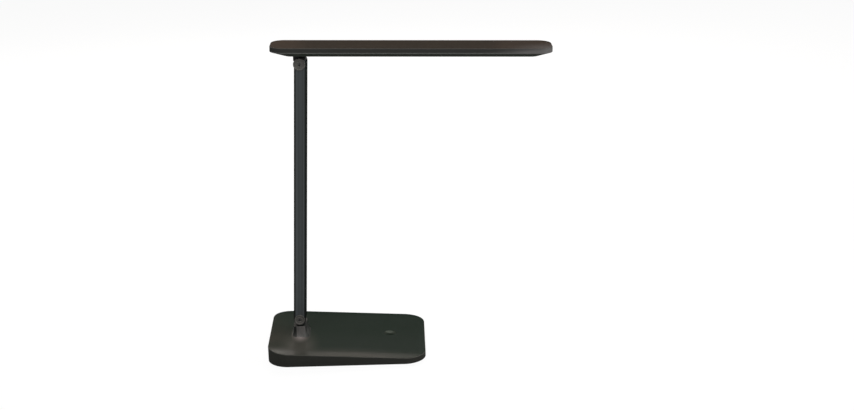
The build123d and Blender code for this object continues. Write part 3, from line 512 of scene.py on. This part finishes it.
def wirePair():
    material, made, links, shader = startMaterial("wireInsulation")
    coordinates = made.new("ShaderNodeTexCoord")
    parts = made.new("ShaderNodeSeparateXYZ")
    links.new(coordinates.outputs["Object"], parts.inputs["Vector"])
    seam = wireLook["seam"] * mm
    side = ranged(made, links, parts.outputs["Y"], 0, 1, -seam, seam)
    colour = mixedColour(made, links, side, wireLook["black"], wireLook["red"])
    links.new(colour, shader.inputs["Base Color"])
    skin = noiseOn(made, links, wireLook["skin"], fineDetail)
    links.new(ranged(made, links, skin, *wireLook["roughness"]), shader.inputs["Roughness"])
    links.new(bumped(made, links, skin, wireLook["depth"]), shader.inputs["Normal"])
    return material


# Green boards: solder mask over faint copper tracks, with tinned dots where holes go through
boardLook = dict(
    mask=(0.008, 0.1, 0.04), track=(0.016, 0.17, 0.065), dot=(0.6, 0.58, 0.52), pitch=2.2,
    bricks=4, trackWidth=0.035, dotSize=(0.12, 0.16), dotScatter=0.6, raised=0.03, cloud=2,
    roughness=(0.26, 0.36),
)


def greenBoard():
    material, made, links, shader = startMaterial("boardGreen")
    coordinates = made.new("ShaderNodeTexCoord")
    tracks = made.new("ShaderNodeTexBrick")
    tracks.inputs["Scale"].default_value = 1 / (boardLook["bricks"] * boardLook["pitch"] * mm)
    tracks.inputs["Mortar Size"].default_value = boardLook["trackWidth"]
    for socket, tone in (("Color1", 0), ("Color2", 0), ("Mortar", 1)):
        tracks.inputs[socket].default_value = (tone, tone, tone, 1)
    links.new(coordinates.outputs["Object"], tracks.inputs["Vector"])
    dots = made.new("ShaderNodeTexVoronoi")
    dots.inputs["Scale"].default_value = 1 / (boardLook["pitch"] * mm)
    dots.inputs["Randomness"].default_value = boardLook["dotScatter"]
    links.new(coordinates.outputs["Object"], dots.inputs["Vector"])
    dotMask = ranged(made, links, dots.outputs["Distance"], 1, 0, *boardLook["dotSize"])
    pattern = tracks.outputs["Color"]
    colour = mixedColour(made, links, pattern, boardLook["mask"], boardLook["track"])
    colour = mixedColour(made, links, dotMask, colour, boardLook["dot"])
    links.new(colour, shader.inputs["Base Color"])
    links.new(dotMask, shader.inputs["Metallic"])
    cloud = noiseOn(made, links, boardLook["cloud"])
    links.new(ranged(made, links, cloud, *boardLook["roughness"]), shader.inputs["Roughness"])
    links.new(bumped(made, links, pattern, boardLook["raised"]), shader.inputs["Normal"])
    return material


# LEDs: white ceramic with a yellow pocket, which the piece marks with an attribute
ledLook = dict(
    ceramic=(0.8, 0.8, 0.78), phosphor=(0.86, 0.66, 0.12), speck=0.2, roughness=(0.25, 0.4),
    depth=0.004,
)


def ledSurface():
    material, made, links, shader = startMaterial("ledPhosphor")
    pocket = made.new("ShaderNodeAttribute")
    pocket.attribute_name = "phosphor"
    marked = pocket.outputs["Fac"]
    colour = mixedColour(made, links, marked, ledLook["ceramic"], ledLook["phosphor"])
    links.new(colour, shader.inputs["Base Color"])
    speck = noiseOn(made, links, ledLook["speck"], fineDetail)
    links.new(ranged(made, links, speck, *ledLook["roughness"]), shader.inputs["Roughness"])
    links.new(bumped(made, links, speck, ledLook["depth"]), shader.inputs["Normal"])
    return material


opalPlastic = opalWindow()
wireInsulation = wirePair()
boardGreen = greenBoard()
ledPhosphor = ledSurface()
print("finishes made:", len(bpy.data.materials))

# Every new piece rides on a body, stands for a CAD node and takes a finish
creaseAngle = radians(32)  # sharper edges than this get rounded, and others look smooth
flatAngle = radians(0.4)  # faces that turn less than this are joined up
weld = dict(cad=0.002 * mm, spun=0.0005 * mm)  # how close points are joined


def finishPiece(bm, name, body, material, node):
    for face in bm.faces:
        face.smooth = True
    for edge in bm.edges:
        edge.smooth = edge.is_manifold and edge.calc_face_angle() < creaseAngle
    mesh = bpy.data.meshes.new(name)
    bm.to_mesh(mesh)
    bm.free()
    if "custom_normal" in mesh.attributes:
        mesh.attributes.remove(mesh.attributes["custom_normal"])
    mesh.materials.clear()
    mesh.materials.append(material)
    piece = bpy.data.objects.new(name, mesh)
    bpy.context.scene.collection.objects.link(piece)
    weighted = piece.modifiers.new("faceWeighted", "WEIGHTED_NORMAL")
    weighted.keep_sharp = True
    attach(piece, body)
    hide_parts(node)


def bevelEdges(bm, edges, width, segments=2):
    bmesh.ops.bevel(
        bm, geom=edges, offset=width * mm, offset_type="OFFSET", segments=segments, profile=0.5,
        affect="EDGES", material=-1, clamp_overlap=True,
    )


def roundEdges(bm, width, segments=2):
    sharp = [e for e in bm.edges if e.is_manifold and e.calc_face_angle() > creaseAngle]
    bevelEdges(bm, sharp, width, segments)


def softCopy(node, width):
    # the CAD piece's own shape, with its flat faces joined up and its sharp edges rounded
    bm = bmesh.new()
    bm.from_mesh(nodes[node].data)
    bmesh.ops.remove_doubles(bm, verts=bm.verts, dist=weld["cad"])
    bmesh.ops.dissolve_limit(bm, angle_limit=flatAngle, verts=bm.verts, edges=bm.edges)
    roundEdges(bm, width)
    return bm


def stepped(radius, height, steps):
    # profile points, each a little in from radius and down from height
    return [(radius - inwards, height - down) for inwards, down in steps]


def turned(profile, place, steps):
    # points of (radius, height) in millimetres, spun about the upright axis and then placed.
    # A profile that starts away from the axis is closed into a ring
    bm = bmesh.new()
    points = [bm.verts.new((radius * mm, 0, height * mm)) for radius, height in profile]
    lines = [bm.edges.new(pair) for pair in zip(points, points[1:])]
    if profile[0][0] > 0:
        lines.append(bm.edges.new((points[-1], points[0])))
    bmesh.ops.spin(
        bm, geom=points + lines, cent=(0, 0, 0), axis=(0, 0, 1), angle=2 * pi, steps=steps,
        use_merge=True,
    )
    bmesh.ops.remove_doubles(bm, verts=bm.verts, dist=weld["spun"])
    bmesh.ops.recalc_face_normals(bm, faces=bm.faces)
    bmesh.ops.transform(bm, matrix=place, verts=bm.verts)
    return bm


def addBlock(bm, centre, size, width=0.0):
    # a box in metres about its centre, with its edges rounded by width millimetres
    place = Matrix.Translation(centre) @ Matrix.Diagonal((*size, 1))
    corners = bmesh.ops.create_cube(bm, size=1, matrix=place)["verts"]
    if width:
        edges = dict.fromkeys(edge for corner in corners for edge in corner.link_edges)
        bevelEdges(bm, list(edges), width)


# Base: the deck and the pedestal are finished apart, and part just above the deck
baseLook = dict(
    deckMiddle=11.05, length=165.1, thick=15.9, thin=6.2, cut=0.05, cutReach=0.0001, round=0.18,
)
deckFall = (baseLook["thick"] - baseLook["thin"]) / baseLook["length"]
deckNormal = Vector((sin(atan(deckFall)), 0, cos(atan(deckFall))))
deckPoint = Vector((0, 0, (baseLook["deckMiddle"] + baseLook["cut"]) * mm))


def partedAtDeck(keepAbove):
    bm = softCopy("base_top_cover", baseLook["round"])
    cut = bmesh.ops.bisect_plane(
        bm, geom=bm.verts[:] + bm.edges[:] + bm.faces[:], dist=baseLook["cutReach"] * mm,
        plane_co=deckPoint, plane_no=deckNormal, clear_outer=not keepAbove, clear_inner=keepAbove,
    )
    rim = [item for item in cut["geom_cut"] if isinstance(item, bmesh.types.BMEdge)]
    outwards = -deckNormal if keepAbove else deckNormal
    bmesh.ops.triangle_fill(bm, use_beauty=True, edges=rim, normal=outwards)
    return bm


for name, material, keepAbove in (
    ("baseCover", coverPlastic, False), ("pedestal", pedestalFinish, True),
):
    finishPiece(
        partedAtDeck(keepAbove), name, "base", material, "base_top_cover"
    )

# Switch key: a dished button with a narrow rim, tilted with the deck
keyLook = dict(
    place=(45.1, 5.0), radius=6.3, rim=0.35, rimSteps=((0.12, 0), (0.03, 0.04), (0, 0.13)),
    dish=1.0, dishSteps=14, skirt=7.6, skirtTop=1.95, skirtEdge=0.1, bottom=2.7, recess=3.7,
    recessDepth=0.1, steps=72,
)


def makeKey():
    k = keyLook
    x, y = k["place"]
    half = k["radius"] - k["rim"]
    ball = (half**2 + k["dish"] ** 2) / (2 * k["dish"])  # radius of the dish's sphere
    across = [half * step / k["dishSteps"] for step in range(k["dishSteps"] + 1)]
    profile = [(r, ball - k["dish"] - sqrt(ball**2 - r**2)) for r in across]
    profile += stepped(k["radius"], 0, k["rimSteps"])
    profile += [
        (k["radius"], -k["skirtTop"]), (k["skirt"] - k["skirtEdge"], -k["skirtTop"]),
        (k["skirt"], -k["skirtTop"] - k["skirtEdge"]), (k["skirt"], -k["bottom"]),
        (k["recess"], -k["bottom"]), (k["recess"], k["recessDepth"] - k["bottom"]),
        (0, k["recessDepth"] - k["bottom"]),
    ]
    tilt = Matrix.Identity(4)
    tilt[2][0] = -deckFall
    seat = Vector((x, y, baseLook["deckMiddle"] - x * deckFall)) * mm
    bm = turned(profile, Matrix.Translation(seat) @ tilt, k["steps"])
    finishPiece(bm, "switchKey", "key", keyPlastic, "switch_key")


makeKey()

# Hinge caps, turned with a rounded rim and fine rings; the front ones show the bolt.
# Steps are (in, down) from an edge, in millimetres
capLook = dict(
    radius=dict(lower=5.5, upper=6.2), seat=11.0, height=1.2, rim=0.9, dish=0.35, hole=1.6,
    spigot=(4.15, 4.45), spigotLength=0.9, rings=(0.45, 0.62, 0.79), ringDepth=0.07,
    ringWidth=0.12, foot=0.08,
    shoulder=((0, 0.42), (0.07, 0.2), (0.2, 0.06), (0.4, 0)), lip=((-0.2, 0), (-0.07, 0.06)),
    lipFoot=((0, -0.06), (0.1, 0)), holeEdge=((-0.25, 0), (-0.05, 0.1), (0, 0.25)), steps=72,
)


def makeCap(name, node, place, radius, holed):
    c = capLook
    top = c["seat"] + c["height"]
    floor = top - c["dish"]
    inner, outer = c["spigot"]
    edge = radius - c["rim"]
    profile = [
        (inner, c["seat"] - c["spigotLength"]), (outer, c["seat"] - c["spigotLength"]),
        (outer, c["seat"]), (radius - c["foot"], c["seat"]), (radius, c["seat"] + c["foot"]),
    ]
    profile += stepped(radius, top, c["shoulder"]) + stepped(edge, top, c["lip"])
    profile += stepped(edge, floor, c["lipFoot"])
    groove = ((-c["ringWidth"], 0), (0, c["ringDepth"]), (c["ringWidth"], 0))
    for share in reversed(c["rings"]):
        profile += stepped(share * edge, floor, groove)
    if holed:
        profile += stepped(c["hole"], floor, c["holeEdge"])
        profile += [(c["hole"], c["seat"]), (inner, c["seat"])]
    else:
        profile = [(0, c["seat"]), (inner, c["seat"])] + profile + [(0, floor)]
    finishPiece(turned(profile, place, c["steps"]), name, "arm", capPlastic, node)


for end, hinge in (("lower", lowerHinge), ("upper", upperHinge)):
    radius = capLook["radius"][end]
    makeCap(f"{end}FrontCap", f"{end}_hinge_front_cap", hinge @ towardsFront, radius, True)
    makeCap(f"{end}RearCap", f"{end}_hinge_rear_cap", hinge @ towardsBack, radius, False)

# Spring washers: split rings whose ends stand a little apart
washerLook = dict(
    inner=2.05, outer=4.0, clear=0.01, thickness=0.42, rise=0.16, gap=16, round=0.06, steps=46,
)


def makeSpringWasher(end, hinge):
    w = washerLook
    node = f"{end}_hinge_spring_washer"
    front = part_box(node)[0][1]
    bottom = (front - hinge.translation.y) / mm + w["clear"]
    top = bottom + w["thickness"]
    corners = [(w["inner"], bottom), (w["outer"], bottom), (w["outer"], top), (w["inner"], top)]
    bm = bmesh.new()
    section = bm.faces.new([bm.verts.new((r * mm, 0, h * mm)) for r, h in corners])
    bmesh.ops.spin(
        bm, geom=[section], cent=(0, 0, 0), axis=(0, 0, 1), angle=radians(360 - w["gap"]),
        steps=w["steps"], dvec=(0, 0, w["rise"] * mm / w["steps"]), use_merge=False,
    )
    bmesh.ops.remove_doubles(bm, verts=bm.verts, dist=weld["spun"])
    bmesh.ops.recalc_face_normals(bm, faces=bm.faces)
    roundEdges(bm, w["round"], 1)
    bmesh.ops.transform(bm, matrix=hinge @ towardsBack, verts=bm.verts)
    finishPiece(bm, f"{end}SpringWasher", "arm", boltSteel, node)


makeSpringWasher("lower", lowerHinge)
makeSpringWasher("upper", upperHinge)
print("base, key and hinge pieces made")

# Pieces that keep the CAD shape and get rounded edges: node, name, body, finish, slot, width
softPieces = [
    ("base_hinge_bracket", "hingeTongue", "base", bracketPaint, "bracket_metal", 0.25),
    ("base_bottom_plate", "bottomPlate", "base", plateSteel, "plate_steel", 0.15),
    ("ballast_plate", "ballastPlate", "base", ballastSteel, "ballast_steel", 0.3),
    ("nonslip_pad", "nonslipPad", "base", padRubber, "pad_rubber", 0.2),
    ("base_screws", "baseScrews", "base", screwSteel, "screw_steel", 0.08),
    ("base_bracket_screws", "baseBracketScrews", "base", screwSteel, "screw_steel", 0.08),
    ("power_jack", "powerJack", "base", blackPlastic, "black_plastic", 0.25),
    ("switch_body", "switchBody", "base", blackPlastic, "black_plastic", 0.1),
    ("arm_tube", "armTube", "arm", armAnodised, "arm_aluminium", 0.15),
    ("lower_fork_insert", "lowerForkInsert", "arm", insertCasting, "insert_aluminium", 0.2),
    ("upper_fork_insert", "upperForkInsert", "arm", insertCasting, "insert_aluminium", 0.2),
    ("fork_screws", "forkScrews", "arm", screwSteel, "screw_steel", 0.08),
    ("head_bracket", "headTongue", "head", bracketPaint, "bracket_metal", 0.25),
    ("head_bracket_screws", "headBracketScrews", "head", screwSteel, "screw_steel", 0.08),
    ("head_top_cover", "headCover", "head", headPlastic, "cover_plastic", 0.15),
    ("head_lower_frame", "headLowerFrame", "head", framePlastic, "frame_plastic", 0.3),
    ("head_screws", "headScrews", "head", screwSteel, "screw_steel", 0.08),
    ("diffuser", "diffuserWindow", "head", opalPlastic, "diffuser_opal", 0.15),
    ("heat_spreader", "heatSpreader", "head", spreaderSheet, "spreader_aluminium", 0.12),
]
for end in ("lower", "upper"):
    for part, name, material, slotName, width in (
        ("bolt", "HingeBolt", boltSteel, "bolt_steel", 0.12),
        ("nut", "HingeNut", boltSteel, "bolt_steel", 0.2),
        ("friction_washers", "FrictionWashers", washerNylon, "washer_nylon", 0.08),
    ):
        node = f"{end}_hinge_{part}"
        softPieces.append((node, f"{end}{name}", "arm", material, slotName, width))
for node, name, body, material, slotName, width in softPieces:
    finishPiece(softCopy(node, width), name, body, material, node)
print("pieces with rounded edges:", len(softPieces))


# Light board pieces: each LED is a small package with a sunken round pocket
ledArray = dict(
    middle=123.0, pitch=11.0, rowPitch=12.0, columns=18, rows=2, side=2.8, height=0.7, top=15.0,
    round=0.12, border=0.3, pocketSlope=0.12, pocketDepth=0.12,
)


def makeLeds():
    a = ledArray
    bm = bmesh.new()
    marks = bm.faces.layers.float.new("phosphor")
    size = Vector((a["side"], a["side"], a["height"])) * mm
    z = a["top"] - a["height"] / 2
    for column in range(a["columns"]):
        for row in range(a["rows"]):
            x = a["middle"] + (column - (a["columns"] - 1) / 2) * a["pitch"]
            y = (row - (a["rows"] - 1) / 2) * a["rowPitch"]
            before = set(bm.faces)
            addBlock(bm, Vector((x, y, z)) * mm, size, a["round"])
            bm.normal_update()
            fresh = [face for face in bm.faces if face not in before]
            window = [min(fresh, key=lambda face: face.calc_center_median().z)]
            bmesh.ops.inset_region(bm, faces=window, thickness=a["border"] * mm, depth=0)
            bmesh.ops.inset_region(
                bm, faces=window, thickness=a["pocketSlope"] * mm, depth=-a["pocketDepth"] * mm
            )
            window[0][marks] = 1.0
    bmesh.ops.transform(bm, matrix=headFrame, verts=bm.verts)
    finishPiece(bm, "ledPackages", "head", ledPhosphor, "leds")


makeLeds()


# Board parts. Their places and outer sizes come from the CAD nodes' boxes
def boxOf(node):
    # foot (the middle of the underside) and size
    low, high = (Vector(corner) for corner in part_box(node))
    return Vector(((low.x + high.x) / 2, (low.y + high.y) / 2, low.z)), high - low


# Driver chip: a body on two rows of bent pins. Shares are of the box's length and width
chipLook = dict(
    share=(0.72, 0.96), lift=0.12, round=0.14, pins=4, pinSpread=4.4, pinRound=0.04,
    foot=dict(inset=0.45, height=0.09, size=(0.9, 0.42, 0.18)),
    leg=dict(inset=0.8, height=0.36, size=(0.2, 0.42, 0.6)),
)


def makeChip():
    c = chipLook
    ground, size = boxOf("driver_chip")
    bm = bmesh.new()
    lift = c["lift"] * mm
    body = (size.x * c["share"][0], size.y * c["share"][1], size.z - lift)
    addBlock(bm, ground + Vector((0, 0, (size.z + lift) / 2)), body, c["round"])
    for side in (-1, 1):
        for row in range(c["pins"]):
            along = (row - (c["pins"] - 1) / 2) * size.y / c["pinSpread"]
            for piece in (c["foot"], c["leg"]):
                x = side * (size.x / 2 - piece["inset"] * mm)
                centre = ground + Vector((x, along, piece["height"] * mm))
                addBlock(bm, centre, Vector(piece["size"]) * mm, c["pinRound"])
    finishPiece(bm, "driverChip", "base", blackPlastic, "driver_chip")


# Power inductor: a round coil between two square flanges of (share, height, rounding)
inductorLook = dict(lower=(0.98, 0.6, 0.15), upper=(0.92, 0.7, 0.3), coil=0.44, inset=0.5, steps=40)


def makeInductor():
    ground, size = boxOf("power_inductor")
    bm = bmesh.new()
    for which in ("lower", "upper"):
        share, height, width = inductorLook[which]
        height *= mm
        z = height / 2 if which == "lower" else size.z - height / 2
        flange = (size.x * share, size.y * share, height)
        addBlock(bm, ground + Vector((0, 0, z)), flange, width)
    radius = size.x * inductorLook["coil"]
    bmesh.ops.create_cone(
        bm, cap_ends=True, segments=inductorLook["steps"], radius1=radius, radius2=radius,
        depth=size.z - 2 * inductorLook["inset"] * mm,
        matrix=Matrix.Translation(ground + Vector((0, 0, size.z / 2))),
    )
    finishPiece(bm, "powerInductor", "base", inductorFerrite, "power_inductor")


# Turned board parts: steps of (in, down) from the edge of the foot and from that of the top,
# whose middle can lie lower
capacitorLook = dict(
    foot=((0.05, 0), (0, -0.1), (0, -0.5), (0.25, -0.75), (0, -1)),
    top=((0, 0.45), (0.12, 0.12), (0.45, 0), (0.7, 0.12)), middle=0.12, steps=56,
)
jackPinLook = dict(foot=((0, 0),), top=((0, 0.7), (0.15, 0.35), (0.4, 0.1), (0.7, 0)), steps=40)
plungerLook = dict(foot=((0.15, 0), (0, -0.15)), top=((0, 0.2), (0.2, 0)), steps=40)


def turnedPart(look, radius, height, place):
    # radius and height in metres
    radius, height = radius / mm, height / mm
    profile = [(0, 0)] + stepped(radius, 0, look["foot"]) + stepped(radius, height, look["top"])
    return turned(profile + [(0, height - look.get("middle", 0))], place, look["steps"])


def makeCapacitor():
    ground, size = boxOf("filter_capacitor")
    bm = turnedPart(capacitorLook, size.x / 2, size.z, Matrix.Translation(ground))
    finishPiece(bm, "filterCapacitor", "base", capacitorCan, "filter_capacitor")


def makeJackPin():
    ground, size = boxOf("power_jack_pin")
    root = ground + Vector((size.x / 2, 0, size.z / 2))
    outward = Matrix.Translation(root) @ Matrix.Rotation(radians(-90), 4, "Y")
    bm = turnedPart(jackPinLook, size.y / 2, size.x, outward)
    finishPiece(bm, "powerJackPin", "base", contactBrass, "power_jack_pin")


def makePlunger():
    ground, size = boxOf("switch_plunger")
    bm = turnedPart(plungerLook, size.x / 2, size.z, Matrix.Translation(ground))
    finishPiece(bm, "switchPlunger", "key", headerPlastic, "switch_plunger")


# Wire headers: an open box over two square pins
headerLook = dict(
    wall=0.6, taper=0.02, mouthShare=0.7, floor=0.4, round=0.12, pin=0.64, pinSpread=0.2,
    pinDrop=0.2, pinShort=0.9, pinRound=0.08,
)


def makeHeader(name, node):
    h = headerLook
    ground, size = boxOf(node)
    middle = ground + Vector((0, 0, size.z / 2))
    bm = bmesh.new()
    addBlock(bm, middle, size)
    bm.normal_update()
    mouth = [max(bm.faces, key=lambda face: face.calc_center_median().z)]
    bmesh.ops.inset_region(bm, faces=mouth, thickness=h["wall"] * mm, depth=0)
    depth = size.z * h["mouthShare"] - h["floor"] * mm
    bmesh.ops.inset_region(bm, faces=mouth, thickness=h["taper"] * mm, depth=-depth)
    roundEdges(bm, h["round"])
    pin = (h["pin"] * mm, h["pin"] * mm, size.z - h["pinShort"] * mm)
    for side in (-1, 1):
        offset = Vector((0, side * size.y * h["pinSpread"], -h["pinDrop"] * mm))
        addBlock(bm, middle + offset, pin, h["pinRound"])
    finishPiece(bm, name, "base", headerPlastic, node)


makeChip()
makeInductor()
makeCapacitor()
makeHeader("lampWireHeader", "lamp_wire_header")
makeHeader("switchWireHeader", "switch_wire_header")
makeJackPin()
makePlunger()
print("board parts made")

# CAD nodes that keep their own mesh
finishes = {
    boardGreen: ["control_board", "switch_board"],
    wireInsulation: ["base_wires", "arm_wires", "head_wires"],
    cableSheath: ["switch_cable"],
    boardWhite: ["led_board"],
}
for material, names in finishes.items():
    for name in names:
        nodes[name].data.materials.clear()
        nodes[name].data.materials.append(material)

# Studio: pale floor and white surroundings, and soft boxes overhead, in front, behind and aside
studio = dict(
    floorSize=12.0, floorDrop=0.02, floorTone=0.9, floorRoughness=0.9, shadowShare=0.07,
    surround=0.25, aim=(0.02, 0, 0.12),
)
cream = (1, 0.93, 0.86)
softBoxes = [
    dict(name="keyBox", place=(-0.25, -1.25, 1.85), size=(1.3, 1.0), radiance=5.5),
    dict(name="topBox", place=(0.05, 0.6, 1.6), size=(1.4, 0.8), radiance=1.0),
    dict(name="backLow", place=(-0.05, 1.45, 0.77), size=(1.2, 0.16), radiance=6.5, tint=cream),
    dict(name="backHigh", place=(-0.05, 1.45, 1.035), size=(1.2, 0.35), radiance=18.0, tint=cream),
    dict(
        name="warmBackLeft", place=(-0.32, 1.5, 0.65), size=(0.4, 0.2), radiance=3.0,
        tint=(1, 0.6, 0.45),
    ),
    dict(
        name="warmBackRight", place=(0.45, 1.5, 0.65), size=(0.36, 0.2), radiance=2.0,
        tint=(1, 0.6, 0.5),
    ),
    dict(name="rightStrip", place=(1.2, -0.3, 0.45), size=(0.16, 0.7), radiance=22.0),
]


def whiteForTheCamera(tree):
    # 1 for rays that should see plain white: from the camera, in gloss and through clear things
    path = tree.nodes.new("ShaderNodeLightPath")
    seen = path.outputs["Is Camera Ray"]
    for other in ("Is Glossy Ray", "Is Transmission Ray"):
        both = tree.nodes.new("ShaderNodeMath")
        both.operation = "MAXIMUM"
        tree.links.new(seen, both.inputs[0])
        tree.links.new(path.outputs[other], both.inputs[1])
        seen = both.outputs["Value"]
    return seen


def makeWorld():
    world = bpy.data.worlds.new("whiteRoom")
    bpy.context.scene.world = world
    world.use_nodes = True
    tree = world.node_tree
    background = tree.nodes["Background"]
    background.inputs["Color"].default_value = (1, 1, 1, 1)
    white = whiteForTheCamera(tree)
    strength = ranged(tree.nodes, tree.links, white, studio["surround"], 1, 0, 1)
    tree.links.new(strength, background.inputs["Strength"])


def makeFloor():
    bm = bmesh.new()
    bmesh.ops.create_grid(bm, x_segments=1, y_segments=1, size=studio["floorSize"] / 2)
    bmesh.ops.translate(bm, verts=bm.verts, vec=(0, 0, -studio["floorDrop"] * mm))
    mesh = bpy.data.meshes.new("floor")
    bm.to_mesh(mesh)
    bm.free()
    floor = bpy.data.objects.new("floor", mesh)
    bpy.context.scene.collection.objects.link(floor)
    material, made, links, shader = startMaterial("paleFloor")
    tone = studio["floorTone"]
    shader.inputs["Base Color"].default_value = (tone, tone, tone, 1)
    shader.inputs["Roughness"].default_value = studio["floorRoughness"]
    white = made.new("ShaderNodeEmission")
    mix = made.new("ShaderNodeMixShader")
    seen = whiteForTheCamera(material.node_tree)
    share = ranged(made, links, seen, 0, 1 - studio["shadowShare"], 0, 1)
    links.new(share, mix.inputs["Fac"])
    links.new(shader.outputs["BSDF"], mix.inputs[1])
    links.new(white.outputs["Emission"], mix.inputs[2])
    links.new(mix.outputs["Shader"], made["Material Output"].inputs["Surface"])
    mesh.materials.append(material)


def makeSoftBox(box):
    lamp = bpy.data.lights.new(box["name"], "AREA")
    lamp.shape = "RECTANGLE"
    lamp.size, lamp.size_y = box["size"]
    lamp.color = box.get("tint", (1, 1, 1))
    lamp.energy = box["radiance"] * pi * lamp.size * lamp.size_y
    holder = bpy.data.objects.new(box["name"], lamp)
    bpy.context.scene.collection.objects.link(holder)
    place = Vector(box["place"])
    turn = (Vector(studio["aim"]) - place).to_track_quat("-Z", "Y")
    holder.matrix_world = Matrix.Translation(place) @ turn.to_matrix().to_4x4()
    holder.visible_camera = False


makeWorld()
makeFloor()
for box in softBoxes:
    makeSoftBox(box)

# Camera: the place, angles and lens that fit the photograph's outline
view = dict(
    place=(0.066132, -1.519562, 0.6472), down=18.0, pan=-0.81924, roll=-1.22347, lens=64.366,
    sensor=36, farthest=50,
)


def makeCamera():
    data = bpy.data.cameras.new("camera")
    data.sensor_width = view["sensor"]
    data.lens = view["lens"]
    data.clip_end = view["farthest"]
    camera = bpy.data.objects.new("camera", data)
    bpy.context.scene.collection.objects.link(camera)
    camera.matrix_world = (
        Matrix.Translation(view["place"])
        @ Matrix.Rotation(radians(view["pan"]), 4, "Z")
        @ Matrix.Rotation(radians(90 - view["down"]), 4, "X")
        @ Matrix.Rotation(radians(view["roll"]), 4, "Z")
    )
    bpy.context.scene.camera = camera


makeCamera()
bpy.context.scene.view_settings.view_transform = "Standard"
print("scene ready")
